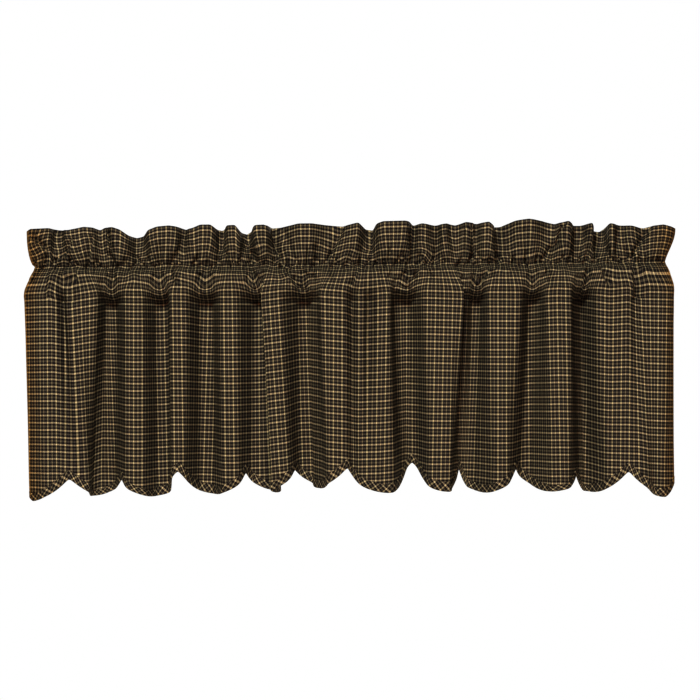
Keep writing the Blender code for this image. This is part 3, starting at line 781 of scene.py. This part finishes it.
def puckered(points, flat, level):
    """Waves of the threads beside a gathered seam."""
    x, z = points[..., 0], points[..., 2]
    near = np.exp(-((z - level) / PUCKER_REACH) ** 2)
    (high, wide), (higher, wider) = PUCKER_TURNS
    sideways = wandering(x, *PUCKER_ACROSS) * np.sin(z / high + x / wide)
    upward = wandering(x, *PUCKER_DOWN) * np.cos(z / higher + x / wider)
    flat[..., 0] += PUCKER * near * sideways
    flat[..., 1] += PUCKER * near * upward
    return flat


def ruffle(share, layer):
    """x, y and z of the ruffle at a share of its height. layer is -1 in front, 1 behind."""
    opening = SPREADING - SPREAD_SOONER * np.exp(-CLOTH / SOONER_REACH)
    x = mix(SEAM_X, TOP_X, ease(share ** opening))
    z = mix(SEAM_TOP, TOP_Z, share)
    y = mix(SEAM_Y, TOP_Y * FLUTE_DEPTH, share ** RUFFLE_LEAN) + seam_pull(z)
    y = carved(x, y, z, CREASES + UP_GATHERS)
    return x, y + layer * (PUFF + PUFF_MORE * arch(share)), z


def scallop_edge(radius, cloth):
    """Heights of the scalloped edge, or of a line concentric with it."""
    tips, rises, blunts = np.array(SCALLOPS, dtype=float).T
    half = SCALLOP_WIDTH / 2
    place = cloth / SCALLOP_WIDTH
    nearest = np.clip(np.rint(place).astype(int), 0, len(tips) - 1)
    across = (place - nearest) * SCALLOP_WIDTH
    right = np.clip(nearest + 1, 0, len(tips) - 1)
    left = np.clip(nearest - 1, 0, len(tips) - 1)
    neighbour = np.where(across >= 0, right, left)
    notch = np.where(across >= 0, nearest, left)
    share = np.abs(across) / half
    level = mix(tips[nearest], (tips[nearest] + tips[neighbour]) / 2, share)
    full_rise = SCALLOP_RADIUS - math.sqrt(SCALLOP_RADIUS ** 2 - half ** 2)
    curve = SCALLOP_RADIUS - np.sqrt(radius ** 2 - across ** 2)
    corners = 0.0
    for corner in CORNERS:
        inside = np.clip(1.0 - np.abs(cloth - corner.cloth) / corner.reach, 0.0, 1.0)
        corners = corners + corner.rise * inside ** 2
    blunt = blunts[notch]
    filled = np.exp(-(half - np.abs(across)) / (BLUNT_REACH * blunt))
    dulled = blunt * (BLUNT_DROP * share ** 2 - filled)
    return level + curve * rises[notch] / full_rise + dulled + corners


def hanging(height):
    """x and y of the panel's cloth, where height may differ from column to column."""
    share = drop_share(height)
    return mix(WAIST_X, HEM_X, share), mix(WAIST_Y, HEM_Y, share)


def lift_at(height):
    """How far the weft is drawn up at a height: nothing at the seam under the ruffle."""
    lift = mix(WAIST_LIFT, HEM_LIFT, np.clip(drop_share(height), 0, LIFT_END))
    return lift * ease(pocket_share(height) * LIFT_START)


def warp_at(height):
    """Where each column's warp lies on the flat cloth at a height."""
    return CLOTH - mix(WAIST_SHIFT, HEM_SHIFT, np.clip(drop_share(height), 0, LIFT_END))


# ---- meshes -------------------------------------------------------------------------
def unit(vectors):
    """Vectors along the last axis, brought to length 1."""
    return vectors / np.maximum(np.linalg.norm(vectors, axis=-1, keepdims=True), 1e-9)


def normals_of(grid):
    """Unit normals of a grid of points, rows by columns by 3."""
    return unit(np.cross(np.gradient(grid, axis=1), np.gradient(grid, axis=0)))


def outward(x, y):
    """Directions square to a row of cloth, towards its front."""
    path = unit(np.stack([np.gradient(x, axis=0), np.gradient(y, axis=0)], axis=-1))
    return np.stack([path[..., 1], -path[..., 0], np.zeros_like(x)], axis=-1)


def quads(rows, columns, first, flip):
    """Four-sided faces of a grid whose points are numbered from first."""
    index = first + np.arange(rows * columns).reshape(rows, columns)
    corners = [index[:-1, :-1], index[1:, :-1], index[1:, 1:], index[:-1, 1:]]
    faces = np.stack(corners, axis=2).reshape(-1, 4)
    return faces[:, ::-1] if flip else faces


def linked(name, data):
    """A new object in the scene around a mesh, a light or a camera."""
    thing = bpy.data.objects.new(name, data)
    bpy.context.scene.collection.objects.link(thing)
    return thing


def mesh_object(name, points, faces, material):
    """A mesh object from millimetre points."""
    mesh = bpy.data.meshes.new(name)
    mesh.from_pydata((points * MM).tolist(), [], faces)
    mesh.materials.append(material)
    return linked(name, mesh)


def smooth_piece(name, points, faces, material, cloth=None):
    """One smooth piece of the valance, with its flat cloth coordinates."""
    piece = mesh_object(name, points, faces, material)
    piece.data.update()
    piece.data.shade_smooth()
    if cloth is not None:
        flat = piece.data.attributes.new("cloth", "FLOAT_VECTOR", "POINT")
        flat.data.foreach_set("vector", cloth.astype(np.float32).ravel())
    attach(piece, "root")
    return piece


def sheet_mesh(name, grid, cloth, thickness, material):
    """A thin closed sheet around a grid of middle points."""
    rows, columns = grid.shape[:2]
    offset = normals_of(grid) * thickness / 2
    count = rows * columns
    points = np.concatenate([(grid - offset).reshape(-1, 3), (grid + offset).reshape(-1, 3)])
    faces = [quads(rows, columns, 0, False), quads(rows, columns, count, True)]
    index = np.arange(count).reshape(rows, columns)
    rim = np.concatenate([index[0, ::-1], index[1:, 0], index[-1, 1:], index[-2::-1, -1]])
    following = np.roll(rim, -1)
    keep = rim != following
    rim, following = rim[keep], following[keep]
    faces.append(np.stack([rim, following, following + count, rim + count], axis=1)[:, ::-1])
    both = np.concatenate([cloth.reshape(-1, 3)] * 2)
    return smooth_piece(name, points, np.concatenate(faces).tolist(), material, both)


def hemmed(values, left, right):
    """Values along a row, with those of the turned side hems and of the folds before them."""
    return np.concatenate([left, values[:1], values, values[-1:], right])


def with_side_hems(x, y, z, warp, flat):
    """Adds the side hems, turned to the back, to both ends of a row of points."""
    count = int(SIDE_HEM / STEP)
    to_left, to_right = slice(count, 0, -1), slice(-2, -count - 2, -1)
    path = np.stack([np.diff(x), np.diff(y)], axis=1)
    path = unit(np.vstack([path, path[-1:]]))
    row = np.stack([x, y, np.broadcast_to(z, x.shape)], axis=1)
    turned = row.copy()
    turned[:, :2] += np.stack([-path[:, 1], path[:, 0]], axis=1) * HEM_GAP
    fold_left = (row[:1] + turned[:1]) / 2 - [[0.5 * HEM_GAP, 0, 0]]
    fold_right = (row[-1:] + turned[-1:]) / 2 + [[0.5 * HEM_GAP, 0, 0]]
    points = np.concatenate([turned[to_left], fold_left, row, fold_right, turned[to_right]])
    flat = np.broadcast_to(flat, x.shape)
    inset = np.minimum(CLOTH, CLOTH_WIDTH - CLOTH)
    across = hemmed(warp, 2 * warp[0] - warp[to_left], 2 * warp[-1] - warp[to_right])
    down = hemmed(flat, flat[to_left], flat[to_right])
    inset = hemmed(inset, inset[to_left], inset[to_right])
    return points, np.stack([across, down, inset], axis=1)


# ---- panel --------------------------------------------------------------------------
# Two sets of low waves. across and down: the cloth in which a wave turns by one radian;
# swing and drift: how far it wanders on its way down, and how slowly
Wave = namedtuple("Wave", "height across down swing drift start")
SOFT_WAVES = table(Wave, [(0.45, 17.0, 61.0, 1.3, 47.0, 0.0), (0.35, 9.3, -83.0, 0.0, 1.0, 2.1)])
WAVES_START = 6             # they are whole a sixth of the way down from the seam


def soft_waves(down):
    """Slight unevenness of hanging cotton, in millimetres square to the cloth."""
    total = 0.0
    for wave in SOFT_WAVES:
        wander = wave.swing * np.sin(down / wave.drift)
        angle = CLOTH / wave.across + down / wave.down + wander + wave.start
        total = total + wave.height * np.sin(angle)
    return total


def panel_grid():
    """Points of the panel's cloth, rows by columns, and their flat coordinates."""
    edge = scallop_edge(SCALLOP_RADIUS, CLOTH) + EDGE_INSIDE
    rows, coordinates = [], []
    for share in np.linspace(0.0, 1.0, PANEL_ROWS):
        height = mix(SEAM_LOW, edge, share)
        x, y = hanging(height)
        out = outward(x, y)
        wave = soft_waves(-height) * ease(share * WAVES_START)
        x, y = x - out[:, 0] * wave, y - out[:, 1] * wave
        row, flat = with_side_hems(x, y, height, warp_at(height), lift_at(height) - height)
        rows.append(row)
        coordinates.append(flat)
    return np.stack(rows), np.stack(coordinates)


# ---- heading ------------------------------------------------------------------------
TWIST_END = 2.5             # a twist is left out past this many times its reach


def twisted(points, flat, turns):
    """Turns the flat coordinates around each place where the gathers twist the cloth."""
    for turn in turns:
        away = np.hypot(points[..., 0] - turn.x, points[..., 2] - turn.z)
        middle = flat[np.unravel_index(np.argmin(away), away.shape)]
        angle = math.radians(turn.degrees) * np.exp(-(away / turn.reach) ** 2)
        offset = flat - middle
        across = np.cos(angle) * offset[..., 0] - np.sin(angle) * offset[..., 1]
        down = np.sin(angle) * offset[..., 0] + np.cos(angle) * offset[..., 1]
        near = away < TWIST_END * turn.reach
        flat[near, 0] = middle[0] + across[near]
        flat[near, 1] = middle[1] + down[near]
    return flat


def slid(points, flat, creases):
    """Moves the flat coordinates under each lip, where some cloth is hidden in the fold."""
    for number, crease in enumerate(creases):
        if not crease.lip:
            continue
        along, beside, length = crease_places(crease, points[..., 0], points[..., 2])
        side = beside * crease.lip
        near = ((side > 0) & (side < HIDDEN_REACH) & (along > -CREASE_END)
                & (along < length + CREASE_END))
        side = side[near]
        share = ease(side / CRISP) * (1.0 - ease(side / HIDDEN_REACH))
        share *= crease_fade(along[near], length, 3 * CREASE_END)
        flat[near, 0] += crease.lip * HIDDEN_ACROSS * share
        flat[near, 1] += HIDDEN_DOWN * (1 if number % 2 else -1) * share
    return flat


def heading_grid():
    """Points of the heading's cloth from the lower seam up the front and down the back."""
    rows, coordinates = [], []

    def add(x, y, z, flat):
        """Adds one row of points, with its side hems."""
        row, cloth = with_side_hems(x, y, z, warp_at(SEAM_LOW), flat)
        rows.append(row)
        coordinates.append(cloth)

    for height in np.linspace(SEAM_LOW, SEAM_TOP, POCKET_ROWS)[:-1]:
        x, y = pocket_front(height)
        add(x, y, height, lift_at(height) - height - recess_sag(height) - taken_up(height))
    down = -SEAM_TOP - POCKET_TAKES
    for share in np.linspace(0.0, 1.0, RUFFLE_ROWS):
        add(*ruffle(share, -1), down - share * RUFFLE_CLOTH - ruffle_sag(share))
    front = len(rows)
    down -= RUFFLE_CLOTH
    x, y, z = ruffle(1.0, 0)
    add(x, y, z + TOP_RISE, down - TOP_FOLD)
    down -= 2 * TOP_FOLD
    for share in np.linspace(1.0, 0.0, BACK_RUFFLE_ROWS):
        add(*ruffle(share, 1), down - (1 - share) * RUFFLE_CLOTH)
    down -= RUFFLE_CLOTH
    for height in np.linspace(SEAM_TOP, SEAM_LOW, BACK_POCKET_ROWS)[1:]:
        x, y = pocket_back(height)
        add(x, y, height, down - (SEAM_TOP - height) * BACK_SLOPE)
    points, flat = np.stack(rows), np.stack(coordinates)
    flat[:front] = twisted(points[:front], flat[:front], TURNS)
    flat[:front] = slid(points[:front], flat[:front], CREASES)
    flat[:front] = puckered(points[:front], flat[:front], SEAM_TOP)
    return points, flat


# ---- binding ------------------------------------------------------------------------
BINDING_WIDTH = 12.0
BINDING_THICK = 0.35
BINDING_STEP = 2.2          # cloth between two columns of points
BINDING_NOTCH = 13.5        # most of the strip's height, where it turns at a notch
BIAS = math.radians(45.0)   # the strip is cut across the check at this angle
BOUND = np.linspace(0.0, CLOTH_WIDTH, int(CLOTH_WIDTH / BINDING_STEP) + 1)

# The strip's folds from its turned-in edge in front to the fold under the panel's cut edge.
# The leaf behind mirrors them. share: place in the finished width, above that fold;
# distance: from the panel's middle
Leaf = namedtuple("Leaf", "share distance")
FRONT_LEAF = table(Leaf, [
    (0.06, 0.55), (0.3, 0.55), (0.6, 0.55), (0.86, 0.56), (0.97, 0.6), (1.0, 0.85),
    (0.97, 1.12), (0.84, 1.3), (0.6, 1.22), (0.35, 1.18), (0.14, 1.12), (0.02, 0.7),
])
LOWEST = Leaf(-0.03, 0.0)
BINDING_FOLDS = [Leaf(leaf.share, -leaf.distance) for leaf in FRONT_LEAF] + [LOWEST]
BINDING_FOLDS += FRONT_LEAF[::-1]


def binding_row(share, distance):
    """Points along the bound edge, at a share of the strip's width above its fold."""
    edge = scallop_edge(SCALLOP_RADIUS, BOUND)
    upper = scallop_edge(SCALLOP_RADIUS - BINDING_WIDTH, BOUND)
    height = edge + share * np.minimum(upper - edge, BINDING_NOTCH)
    x, y = [mix(np.interp(BOUND, CLOTH, waist), np.interp(BOUND, CLOTH, hem), drop_share(height))
            for waist, hem in ((WAIST_X, HEM_X), (WAIST_Y, HEM_Y))]
    out = outward(x, y)
    return np.stack([x, y, height], axis=1) - distance * out, out


def binding_grid():
    """Points of the double-folded bias strip, and their flat coordinates."""
    edge = scallop_edge(SCALLOP_RADIUS, BOUND)
    run = np.concatenate([[0], np.cumsum(np.hypot(np.diff(BOUND), np.diff(edge)))])
    inset = np.minimum(BOUND, CLOTH_WIDTH - BOUND)
    rows, coordinates = [], []
    girth = 0.0
    for share, distance in BINDING_FOLDS:
        row, _ = binding_row(share, distance)
        if rows:
            girth += float(np.median(np.linalg.norm(row - rows[-1], axis=1)))
        rows.append(row)
        across = run * math.cos(BIAS) + girth * math.sin(BIAS)
        along = run * math.sin(BIAS) - girth * math.cos(BIAS)
        coordinates.append(np.stack([across, along, inset], axis=1))
    return np.stack(rows), np.stack(coordinates)


# ---- stitching ----------------------------------------------------------------------
STITCH_LENGTH = 2.6
STITCH_GAP = 0.6
STITCH_START = 0.8          # where a line's first stitch begins
STITCH_CROWN = (0.2, 0.8)   # shares of its length between which a stitch lies on the cloth
STITCH_RADIUS = 0.17
STITCH_SIDES = 4
ABOVE_CLOTH = CLOTH_THICK / 2 + 0.1
BINDING_LINE = 0.88         # the binding's stitches lie this high in its width
BINDING_FACE = 1.35         # and this far from the panel's middle
HEM_LINE = 1.5              # distance of the side hems' stitches from their turned edge


def stitches_along(line, out):
    """Points and faces of short stitches laid end to end along a line on the cloth."""
    run = np.concatenate([[0], np.cumsum(np.linalg.norm(np.diff(line, axis=0), axis=1))])
    starts = np.arange(STITCH_START, run[-1] - STITCH_LENGTH, STITCH_LENGTH + STITCH_GAP)

    def at(place, values):
        """Values given along the line, read at other places on it."""
        return np.stack([np.interp(place, run, values[:, axis]) for axis in range(3)], axis=1)

    first, last = at(starts, line), at(starts + STITCH_LENGTH, line)
    up = unit(at(starts + STITCH_LENGTH / 2, out))
    side = unit(np.cross(last - first, up))
    points = [first]
    for share in STITCH_CROWN:
        middle = mix(first, last, share) + up * ABOVE_CLOTH
        for corner in range(STITCH_SIDES):
            angle = 2 * math.pi * (corner + 0.5) / STITCH_SIDES
            ring = side * math.cos(angle) + up * math.sin(angle)
            points.append(middle + STITCH_RADIUS * ring)
    points.append(last)
    points = np.stack(points, axis=1)
    faces = []
    size = points.shape[1]
    for corner in range(STITCH_SIDES):
        here, following = 1 + corner, 1 + (corner + 1) % STITCH_SIDES
        beyond = [following + STITCH_SIDES, here + STITCH_SIDES]
        faces += [[0, following, here], [here, following] + beyond,
                  [size - 1, here + STITCH_SIDES, following + STITCH_SIDES]]
    all_faces = []
    for stitch in range(len(points)):
        all_faces += [[corner + stitch * size for corner in face] for face in faces]
    return points.reshape(-1, 3), all_faces


def stitch_lines(panel, heading):
    """Lines of stitching: the seams, the bound edge and the side hems, and which way is out."""
    lines = []
    ends = int(SIDE_HEM / STEP) + 1
    seam = POCKET_ROWS - 1
    back_seam = seam + RUFFLE_ROWS + BACK_RUFFLE_ROWS
    # the upper seam in front and behind, then the lower seam
    for number, facing in ((seam, 1), (back_seam, -1), (1, 1), (-1, -1)):
        row = heading[number, ends:-ends]
        lines.append((row, outward(row[:, 0], row[:, 1]) * facing))
    for facing in (1, -1):
        row, out = binding_row(BINDING_LINE, -facing * BINDING_FACE)
        lines.append((row, out * facing))
    inset = ends + int((SIDE_HEM - HEM_LINE) / STEP)
    for grid in (panel, heading[:POCKET_ROWS + RUFFLE_ROWS - 1]):
        for column in (inset, -inset - 1):
            around = outward(grid[:, :, 0].T, grid[:, :, 1].T)[column]
            lines.append((grid[:, column], around))
    return lines


def make_stitching(panel, heading, material):
    """All the sewing thread as one piece."""
    points, faces = [], []
    total = 0
    for line, out in stitch_lines(panel, heading):
        more, more_faces = stitches_along(line, out)
        points.append(more)
        faces += [[corner + total for corner in face] for face in more_faces]
        total += len(more)
    return smooth_piece("seam_stitching", np.concatenate(points), faces, material)


# ---- materials ----------------------------------------------------------------------
def linear(hex_colour):
    """Linear red, green, blue and alpha from an sRGB hex colour."""
    values = [int(hex_colour[i:i + 2], 16) / 255 for i in (1, 3, 5)]
    return [v / 12.92 if v <= 0.04045 else ((v + 0.055) / 1.055) ** 2.4 for v in values] + [1.0]


def add_node(tree, kind, settings):
    """Adds a node and sets its properties and sockets; a socket among the values is linked."""
    node = tree.nodes.new(kind)
    for name, value in settings.items():
        if isinstance(value, bpy.types.NodeSocket):
            tree.links.new(value, node.inputs[name])
        elif isinstance(name, int) or name in node.inputs:
            node.inputs[name].default_value = value
        else:
            setattr(node, name, value)
    return node


def new_material(name, roughness):
    """A material of a roughness, with its node tree and its shader."""
    material = bpy.data.materials.new(name)
    material.use_nodes = True
    shader = material.node_tree.nodes["Principled BSDF"]
    shader.inputs["Roughness"].default_value = roughness
    return material, material.node_tree, shader


COTTON_ROUGH = 0.9          # a plain weave of soft yarns is nearly matt
COTTON_SPECULAR = 0.2       # and its fibres shine less than a plastic's face
WARP_REPEAT = 12.8          # cloth from one strong warp line to the next
WEFT_REPEAT = 10.8
WARP_START = 0.5            # where the first strong lines lie on the flat cloth
WEFT_START = 71.25
GROUND = "#151213"          # near-black brown yarn
FAINT = "#3c3734"           # the thin grey lines in it
Stripe = namedtuple("Stripe", "start colour")
WARP_STRIPES = table(Stripe, [  # millimetres from the middle of a strong line
    (0.0, "#beb188"),
    (1.05, GROUND),
    (2.5, FAINT),
    (3.9, GROUND),
    (5.4, "#8d8266"),
    (7.4, GROUND),
    (8.9, FAINT),
    (10.3, GROUND),
    (11.75, "#beb188"),
])
WEFT_STRIPES = table(Stripe, [
    (0.0, "#c4b490"),
    (1.25, GROUND),
    (4.1, "#665e4c"),
    (6.7, GROUND),
    (9.55, "#c4b490"),
])
THREAD = 0.54               # spacing of the yarns
WEAVE_HEIGHT = 0.12         # how far one stands over the next
WEAVE_STRENGTH = 0.35       # and how much of that the light shows
YARN_PATCH = 0.9            # the yarns' strength changes over this much cloth across them
YARN_RUN = 26.0             # and over this much along them
YARN_CHANGE = 0.5           # and this is the most it changes
WEFT_SHARE = 0.53           # how much of what shows is weft
OVER_UNDER = 0.16           # and how much that changes from one crossing to the next
YARN_SHADE_GAMMA = 2.2                  # the yarns' colours are mixed in display tone steps; the mix of yarns is real, the darkening of a pale yarn among dark ones is painted shade
PAINTED_EDGE_LIGHT_WIDTH = 36.0           # painted light: the side edges are painted more golden over this width
PAINTED_EDGE_LIGHT_TINT = "#ffd078"       # what the yarns' colour is multiplied by there
PAINTED_EDGE_LIGHT_SHARE = 0.6            # and how fully, at the edge itself
PAINTED_RIM_LIGHT_WIDTH = 4.5             # painted light: the outermost turn, where light comes through, is painted plain brown
PAINTED_RIM_LIGHT_COLOUR = "#a07c44"
PAINTED_RIM_LIGHT_SHARE = 0.6
SEWING_ROUGH = 0.6          # spun thread is smoother than the cloth
SEWING_DARK = "#30261c"
SEWING_LIGHT = "#4a3c2c"
THREAD_FLECK = 1.1          # size of its light and dark flecks


def stripes(tree, coordinate, start, repeat, pattern):
    """Colours of one set of yarns along a coordinate of the cloth."""
    shifted = add_node(tree, "ShaderNodeMath", {"operation": "SUBTRACT", 0: coordinate, 1: start})
    part = add_node(tree, "ShaderNodeMath",
                    {"operation": "DIVIDE", 0: shifted.outputs[0], 1: repeat})
    place = add_node(tree, "ShaderNodeMath", {"operation": "FRACT", 0: part.outputs[0]})
    ramp = add_node(tree, "ShaderNodeValToRGB", {0: place.outputs[0]})
    ramp.color_ramp.interpolation = "CONSTANT"
    stops = ramp.color_ramp.elements
    stops[0].position = 0.0
    stops[0].color = linear(pattern[0].colour)
    stops.remove(stops[1])
    for stripe in pattern[1:]:
        stops.new(stripe.start / repeat).color = linear(stripe.colour)
    return ramp.outputs["Color"]


def uneven_yarn(tree, colour, across, along):
    """A set of yarns whose strength varies from yarn to yarn and slowly along each."""
    patch = add_node(tree, "ShaderNodeMath", {"operation": "DIVIDE", 0: across, 1: YARN_PATCH})
    run = add_node(tree, "ShaderNodeMath", {"operation": "DIVIDE", 0: along, 1: YARN_RUN})
    place = add_node(tree, "ShaderNodeCombineXYZ", {0: patch.outputs[0], 1: run.outputs[0]})
    noise = add_node(tree, "ShaderNodeTexNoise",
                     {"Scale": 1.0, "Detail": 2.0, "Vector": place.outputs[0]})
    strength = add_node(tree, "ShaderNodeMath", {
        "operation": "MULTIPLY_ADD", 0: noise.outputs[0], 1: YARN_CHANGE, 2: 1 - YARN_CHANGE / 2})
    scaled = add_node(tree, "ShaderNodeVectorMath", {
        "operation": "SCALE", 0: colour, "Scale": strength.outputs[0]})
    return scaled.outputs[0]


def crossings(tree, across, down):
    """Height of the plain weave: each yarn goes over one and under the next."""
    waves = []
    for place in (across, down):
        angle = add_node(tree, "ShaderNodeMath",
                         {"operation": "MULTIPLY", 0: place, 1: math.pi / THREAD})
        wave = add_node(tree, "ShaderNodeMath", {"operation": "SINE", 0: angle.outputs[0]})
        waves.append(wave.outputs[0])
    over = add_node(tree, "ShaderNodeMath",
                    {"operation": "MULTIPLY", 0: waves[0], 1: waves[1]})
    return over.outputs[0]


def checked_cotton(name):
    """Yarn-dyed homespun cotton: matt, plain woven, dark ground with pale tan lines.

    The uneven strength of the yarns gives the eye homespun. The gold and the plain brown at the
    side edges are painted light, standing in for the light that shines through their fewer
    threads."""
    material, tree, shader = new_material(name, COTTON_ROUGH)
    flat = add_node(tree, "ShaderNodeAttribute", {"attribute_name": "cloth"})
    place = add_node(tree, "ShaderNodeSeparateXYZ", {0: flat.outputs["Vector"]})
    across, down, inset = place.outputs["X"], place.outputs["Y"], place.outputs["Z"]
    warp = stripes(tree, across, WARP_START, WARP_REPEAT, WARP_STRIPES)
    weft = stripes(tree, down, WEFT_START, WEFT_REPEAT, WEFT_STRIPES)
    # mixing in display tone steps paints the shade that the dark yarns cast on the pale ones
    warp_tone = add_node(tree, "ShaderNodeGamma", {"Gamma": 1 / YARN_SHADE_GAMMA, "Color": warp})
    weft_tone = add_node(tree, "ShaderNodeGamma", {"Gamma": 1 / YARN_SHADE_GAMMA, "Color": weft})
    over = crossings(tree, across, down)
    share = add_node(tree, "ShaderNodeMath", {
        "operation": "MULTIPLY_ADD", 0: over, 1: OVER_UNDER, 2: WEFT_SHARE})
    woven = add_node(tree, "ShaderNodeMix", {
        "data_type": "RGBA", 0: share.outputs[0],
        6: uneven_yarn(tree, warp_tone.outputs[0], across, down),
        7: uneven_yarn(tree, weft_tone.outputs[0], down, across)})
    colour = add_node(tree, "ShaderNodeGamma", {"Gamma": YARN_SHADE_GAMMA, "Color": woven.outputs[2]})
    # painted light: the yarns are tinted golden towards the side edges, for the light that shines
    # through there
    edge_light_share = add_node(tree, "ShaderNodeMapRange", {
        "From Max": PAINTED_EDGE_LIGHT_WIDTH, "To Min": PAINTED_EDGE_LIGHT_SHARE, "To Max": 0.0, "Value": inset})
    edge_lit = add_node(tree, "ShaderNodeMix", {
        "data_type": "RGBA", "blend_type": "MULTIPLY", 0: edge_light_share.outputs[0],
        6: colour.outputs[0], 7: linear(PAINTED_EDGE_LIGHT_TINT)})
    # painted light: the outermost turn is painted plain brown for the light that comes through it
    rim = add_node(tree, "ShaderNodeMapRange", {
        "From Max": PAINTED_RIM_LIGHT_WIDTH, "To Min": PAINTED_RIM_LIGHT_SHARE, "To Max": 0.0, "Value": inset})
    rim_lit = add_node(tree, "ShaderNodeMix", {
        "data_type": "RGBA", 0: rim.outputs[0], 6: edge_lit.outputs[2], 7: linear(PAINTED_RIM_LIGHT_COLOUR)})
    tree.links.new(rim_lit.outputs[2], shader.inputs["Base Color"])
    relief = add_node(tree, "ShaderNodeBump", {
        "Strength": WEAVE_STRENGTH, "Distance": WEAVE_HEIGHT * MM, "Height": over})
    tree.links.new(relief.outputs[0], shader.inputs["Normal"])
    shader.inputs["Specular IOR Level"].default_value = COTTON_SPECULAR
    return material


def sewing_thread():
    """Dark brown spun polyester thread with a slight shine, flecked where its plies turn."""
    material, tree, shader = new_material("dark_sewing_thread", SEWING_ROUGH)
    noise = add_node(tree, "ShaderNodeTexNoise", {"Scale": 1 / (THREAD_FLECK * MM), "Detail": 1.0})
    shade = add_node(tree, "ShaderNodeMix", {
        "data_type": "RGBA", 0: noise.outputs[0], 6: linear(SEWING_DARK),
        7: linear(SEWING_LIGHT)})
    tree.links.new(shade.outputs[2], shader.inputs["Base Color"])
    return material


# ---- stage --------------------------------------------------------------------------
IMAGE_SCALE = 1.5           # millimetres of the object in one pixel of the photograph
IMAGE_SIZE = 700
ROD_ROW = 282.5             # the photograph's row on which the rod's axis lies
CAMERA_AWAY = 4000.0
REFERENCE_Y = -16.0         # depth at which the scale holds, about the middle of the folds
ROLL = math.radians(0.5)    # the photograph hangs a little higher on its right
FLOOR_LEVEL = -1250.0
FLOOR_REACH = 2400.0
FLOOR_LINES = 25
Light = namedtuple("Light", "name place size watts colour spread")
LIT_POINT = Vector((0, 0, -0.1))
LIGHTS = table(Light, [     # places and sizes in metres, spread in degrees
    ("key softbox", (-0.6, -3.7, 1.9), (1.0, 0.7), 205, "#f9fefe", 180),
    ("front fill", (0.5, -3.9, 0.5), (1.6, 1.0), 30, "#f9fefe", 180),
    ("warm bounce card", (0, -3.2, -0.1), (3.0, 1.4), 3.5, "#ff7a30", 60),
    ("back softbox", (0.4, 3.0, 1.0), (2.4, 1.6), 150, "#fff8f0", 180),
])
GLOW_COLOUR = "#ffa468"     # what the surroundings light the cloth with
GLOW_STRENGTH = 0.05
FLOOR_ROUGH = 0.85
FLOOR_COLOUR = "#f0efec"
VIEW_GAMMA = 0.68           # deepens the shadows as the photograph does


def make_camera():
    """The camera face on, far off, as the photograph was taken."""
    camera = bpy.data.cameras.new("camera")
    holder = linked("camera", camera)
    level = (ROD_ROW - IMAGE_SIZE / 2) * IMAGE_SCALE
    holder.location = Vector((0.0, REFERENCE_Y - CAMERA_AWAY, level)) * MM
    holder.rotation_euler = (math.radians(90.0), ROLL, 0.0)
    camera.sensor_width = 36.0
    camera.lens = camera.sensor_width * CAMERA_AWAY / (IMAGE_SIZE * IMAGE_SCALE)
    camera.clip_end = 50.0
    bpy.context.scene.camera = holder


def make_lights():
    """Soft boxes in front and behind, and a weak warm card that only fills the shadows."""
    for row in LIGHTS:
        light = bpy.data.lights.new(row.name, "AREA")
        light.spread = math.radians(row.spread)
        light.shape = "RECTANGLE"
        light.size, light.size_y = row.size
        light.energy = row.watts
        light.color = linear(row.colour)[:3]
        holder = linked(row.name, light)
        holder.location = Vector(row.place)
        aim = LIT_POINT - holder.location
        holder.rotation_euler = aim.to_track_quat("-Z", "Y").to_euler()


def make_world():
    """White studio surroundings that light the cloth only faintly and warmly."""
    world = bpy.data.worlds.new("studio")
    bpy.context.scene.world = world
    world.use_nodes = True
    tree = world.node_tree
    seen = tree.nodes["Background"]
    seen.inputs["Color"].default_value = (1, 1, 1, 1)
    seen.inputs["Strength"].default_value = 1.0
    glow = add_node(tree, "ShaderNodeBackground",
                    {"Color": linear(GLOW_COLOUR), "Strength": GLOW_STRENGTH})
    ray = add_node(tree, "ShaderNodeLightPath", {})
    mixed = add_node(tree, "ShaderNodeMixShader", {
        "Fac": ray.outputs["Is Camera Ray"], 1: glow.outputs[0], 2: seen.outputs[0]})
    tree.links.new(mixed.outputs[0], tree.nodes["World Output"].inputs["Surface"])


def make_floor():
    """A pale matt studio floor well below the valance, which hangs."""
    side = np.linspace(-FLOOR_REACH, FLOOR_REACH, FLOOR_LINES)
    x, y = np.meshgrid(side, side)
    points = np.stack([x, y, np.full_like(x, FLOOR_LEVEL)], axis=2).reshape(-1, 3)
    faces = quads(FLOOR_LINES, FLOOR_LINES, 0, True)
    material, _, shader = new_material("matt_studio_floor", FLOOR_ROUGH)
    shader.inputs["Base Color"].default_value = linear(FLOOR_COLOUR)
    floor = mesh_object("studio_floor", points, faces.tolist(), material)


def main():
    """The three cloths and their stitching, then the studio around them."""
    cotton = checked_cotton("yarn_dyed_checked_cotton")
    bias_cotton = checked_cotton("bias_cut_checked_cotton")
    panel_points, panel_flat = panel_grid()
    heading_points, heading_flat = heading_grid()
    binding_points, binding_flat = binding_grid()
    panel = sheet_mesh("panel_cloth", panel_points, panel_flat, CLOTH_THICK, cotton)
    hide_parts("panel")
    heading = sheet_mesh("heading_cloth", heading_points[::-1], heading_flat[::-1],
                         CLOTH_THICK, cotton)
    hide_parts("heading")
    binding = sheet_mesh("hem_bias_binding", binding_points, binding_flat, BINDING_THICK,
                         bias_cotton)
    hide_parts("hem_binding")
    make_stitching(panel_points, heading_points, sewing_thread())
    make_camera()
    make_world()
    make_lights()
    make_floor()
    view = bpy.context.scene.view_settings
    view.view_transform = "Standard"
    view.gamma = VIEW_GAMMA


main()
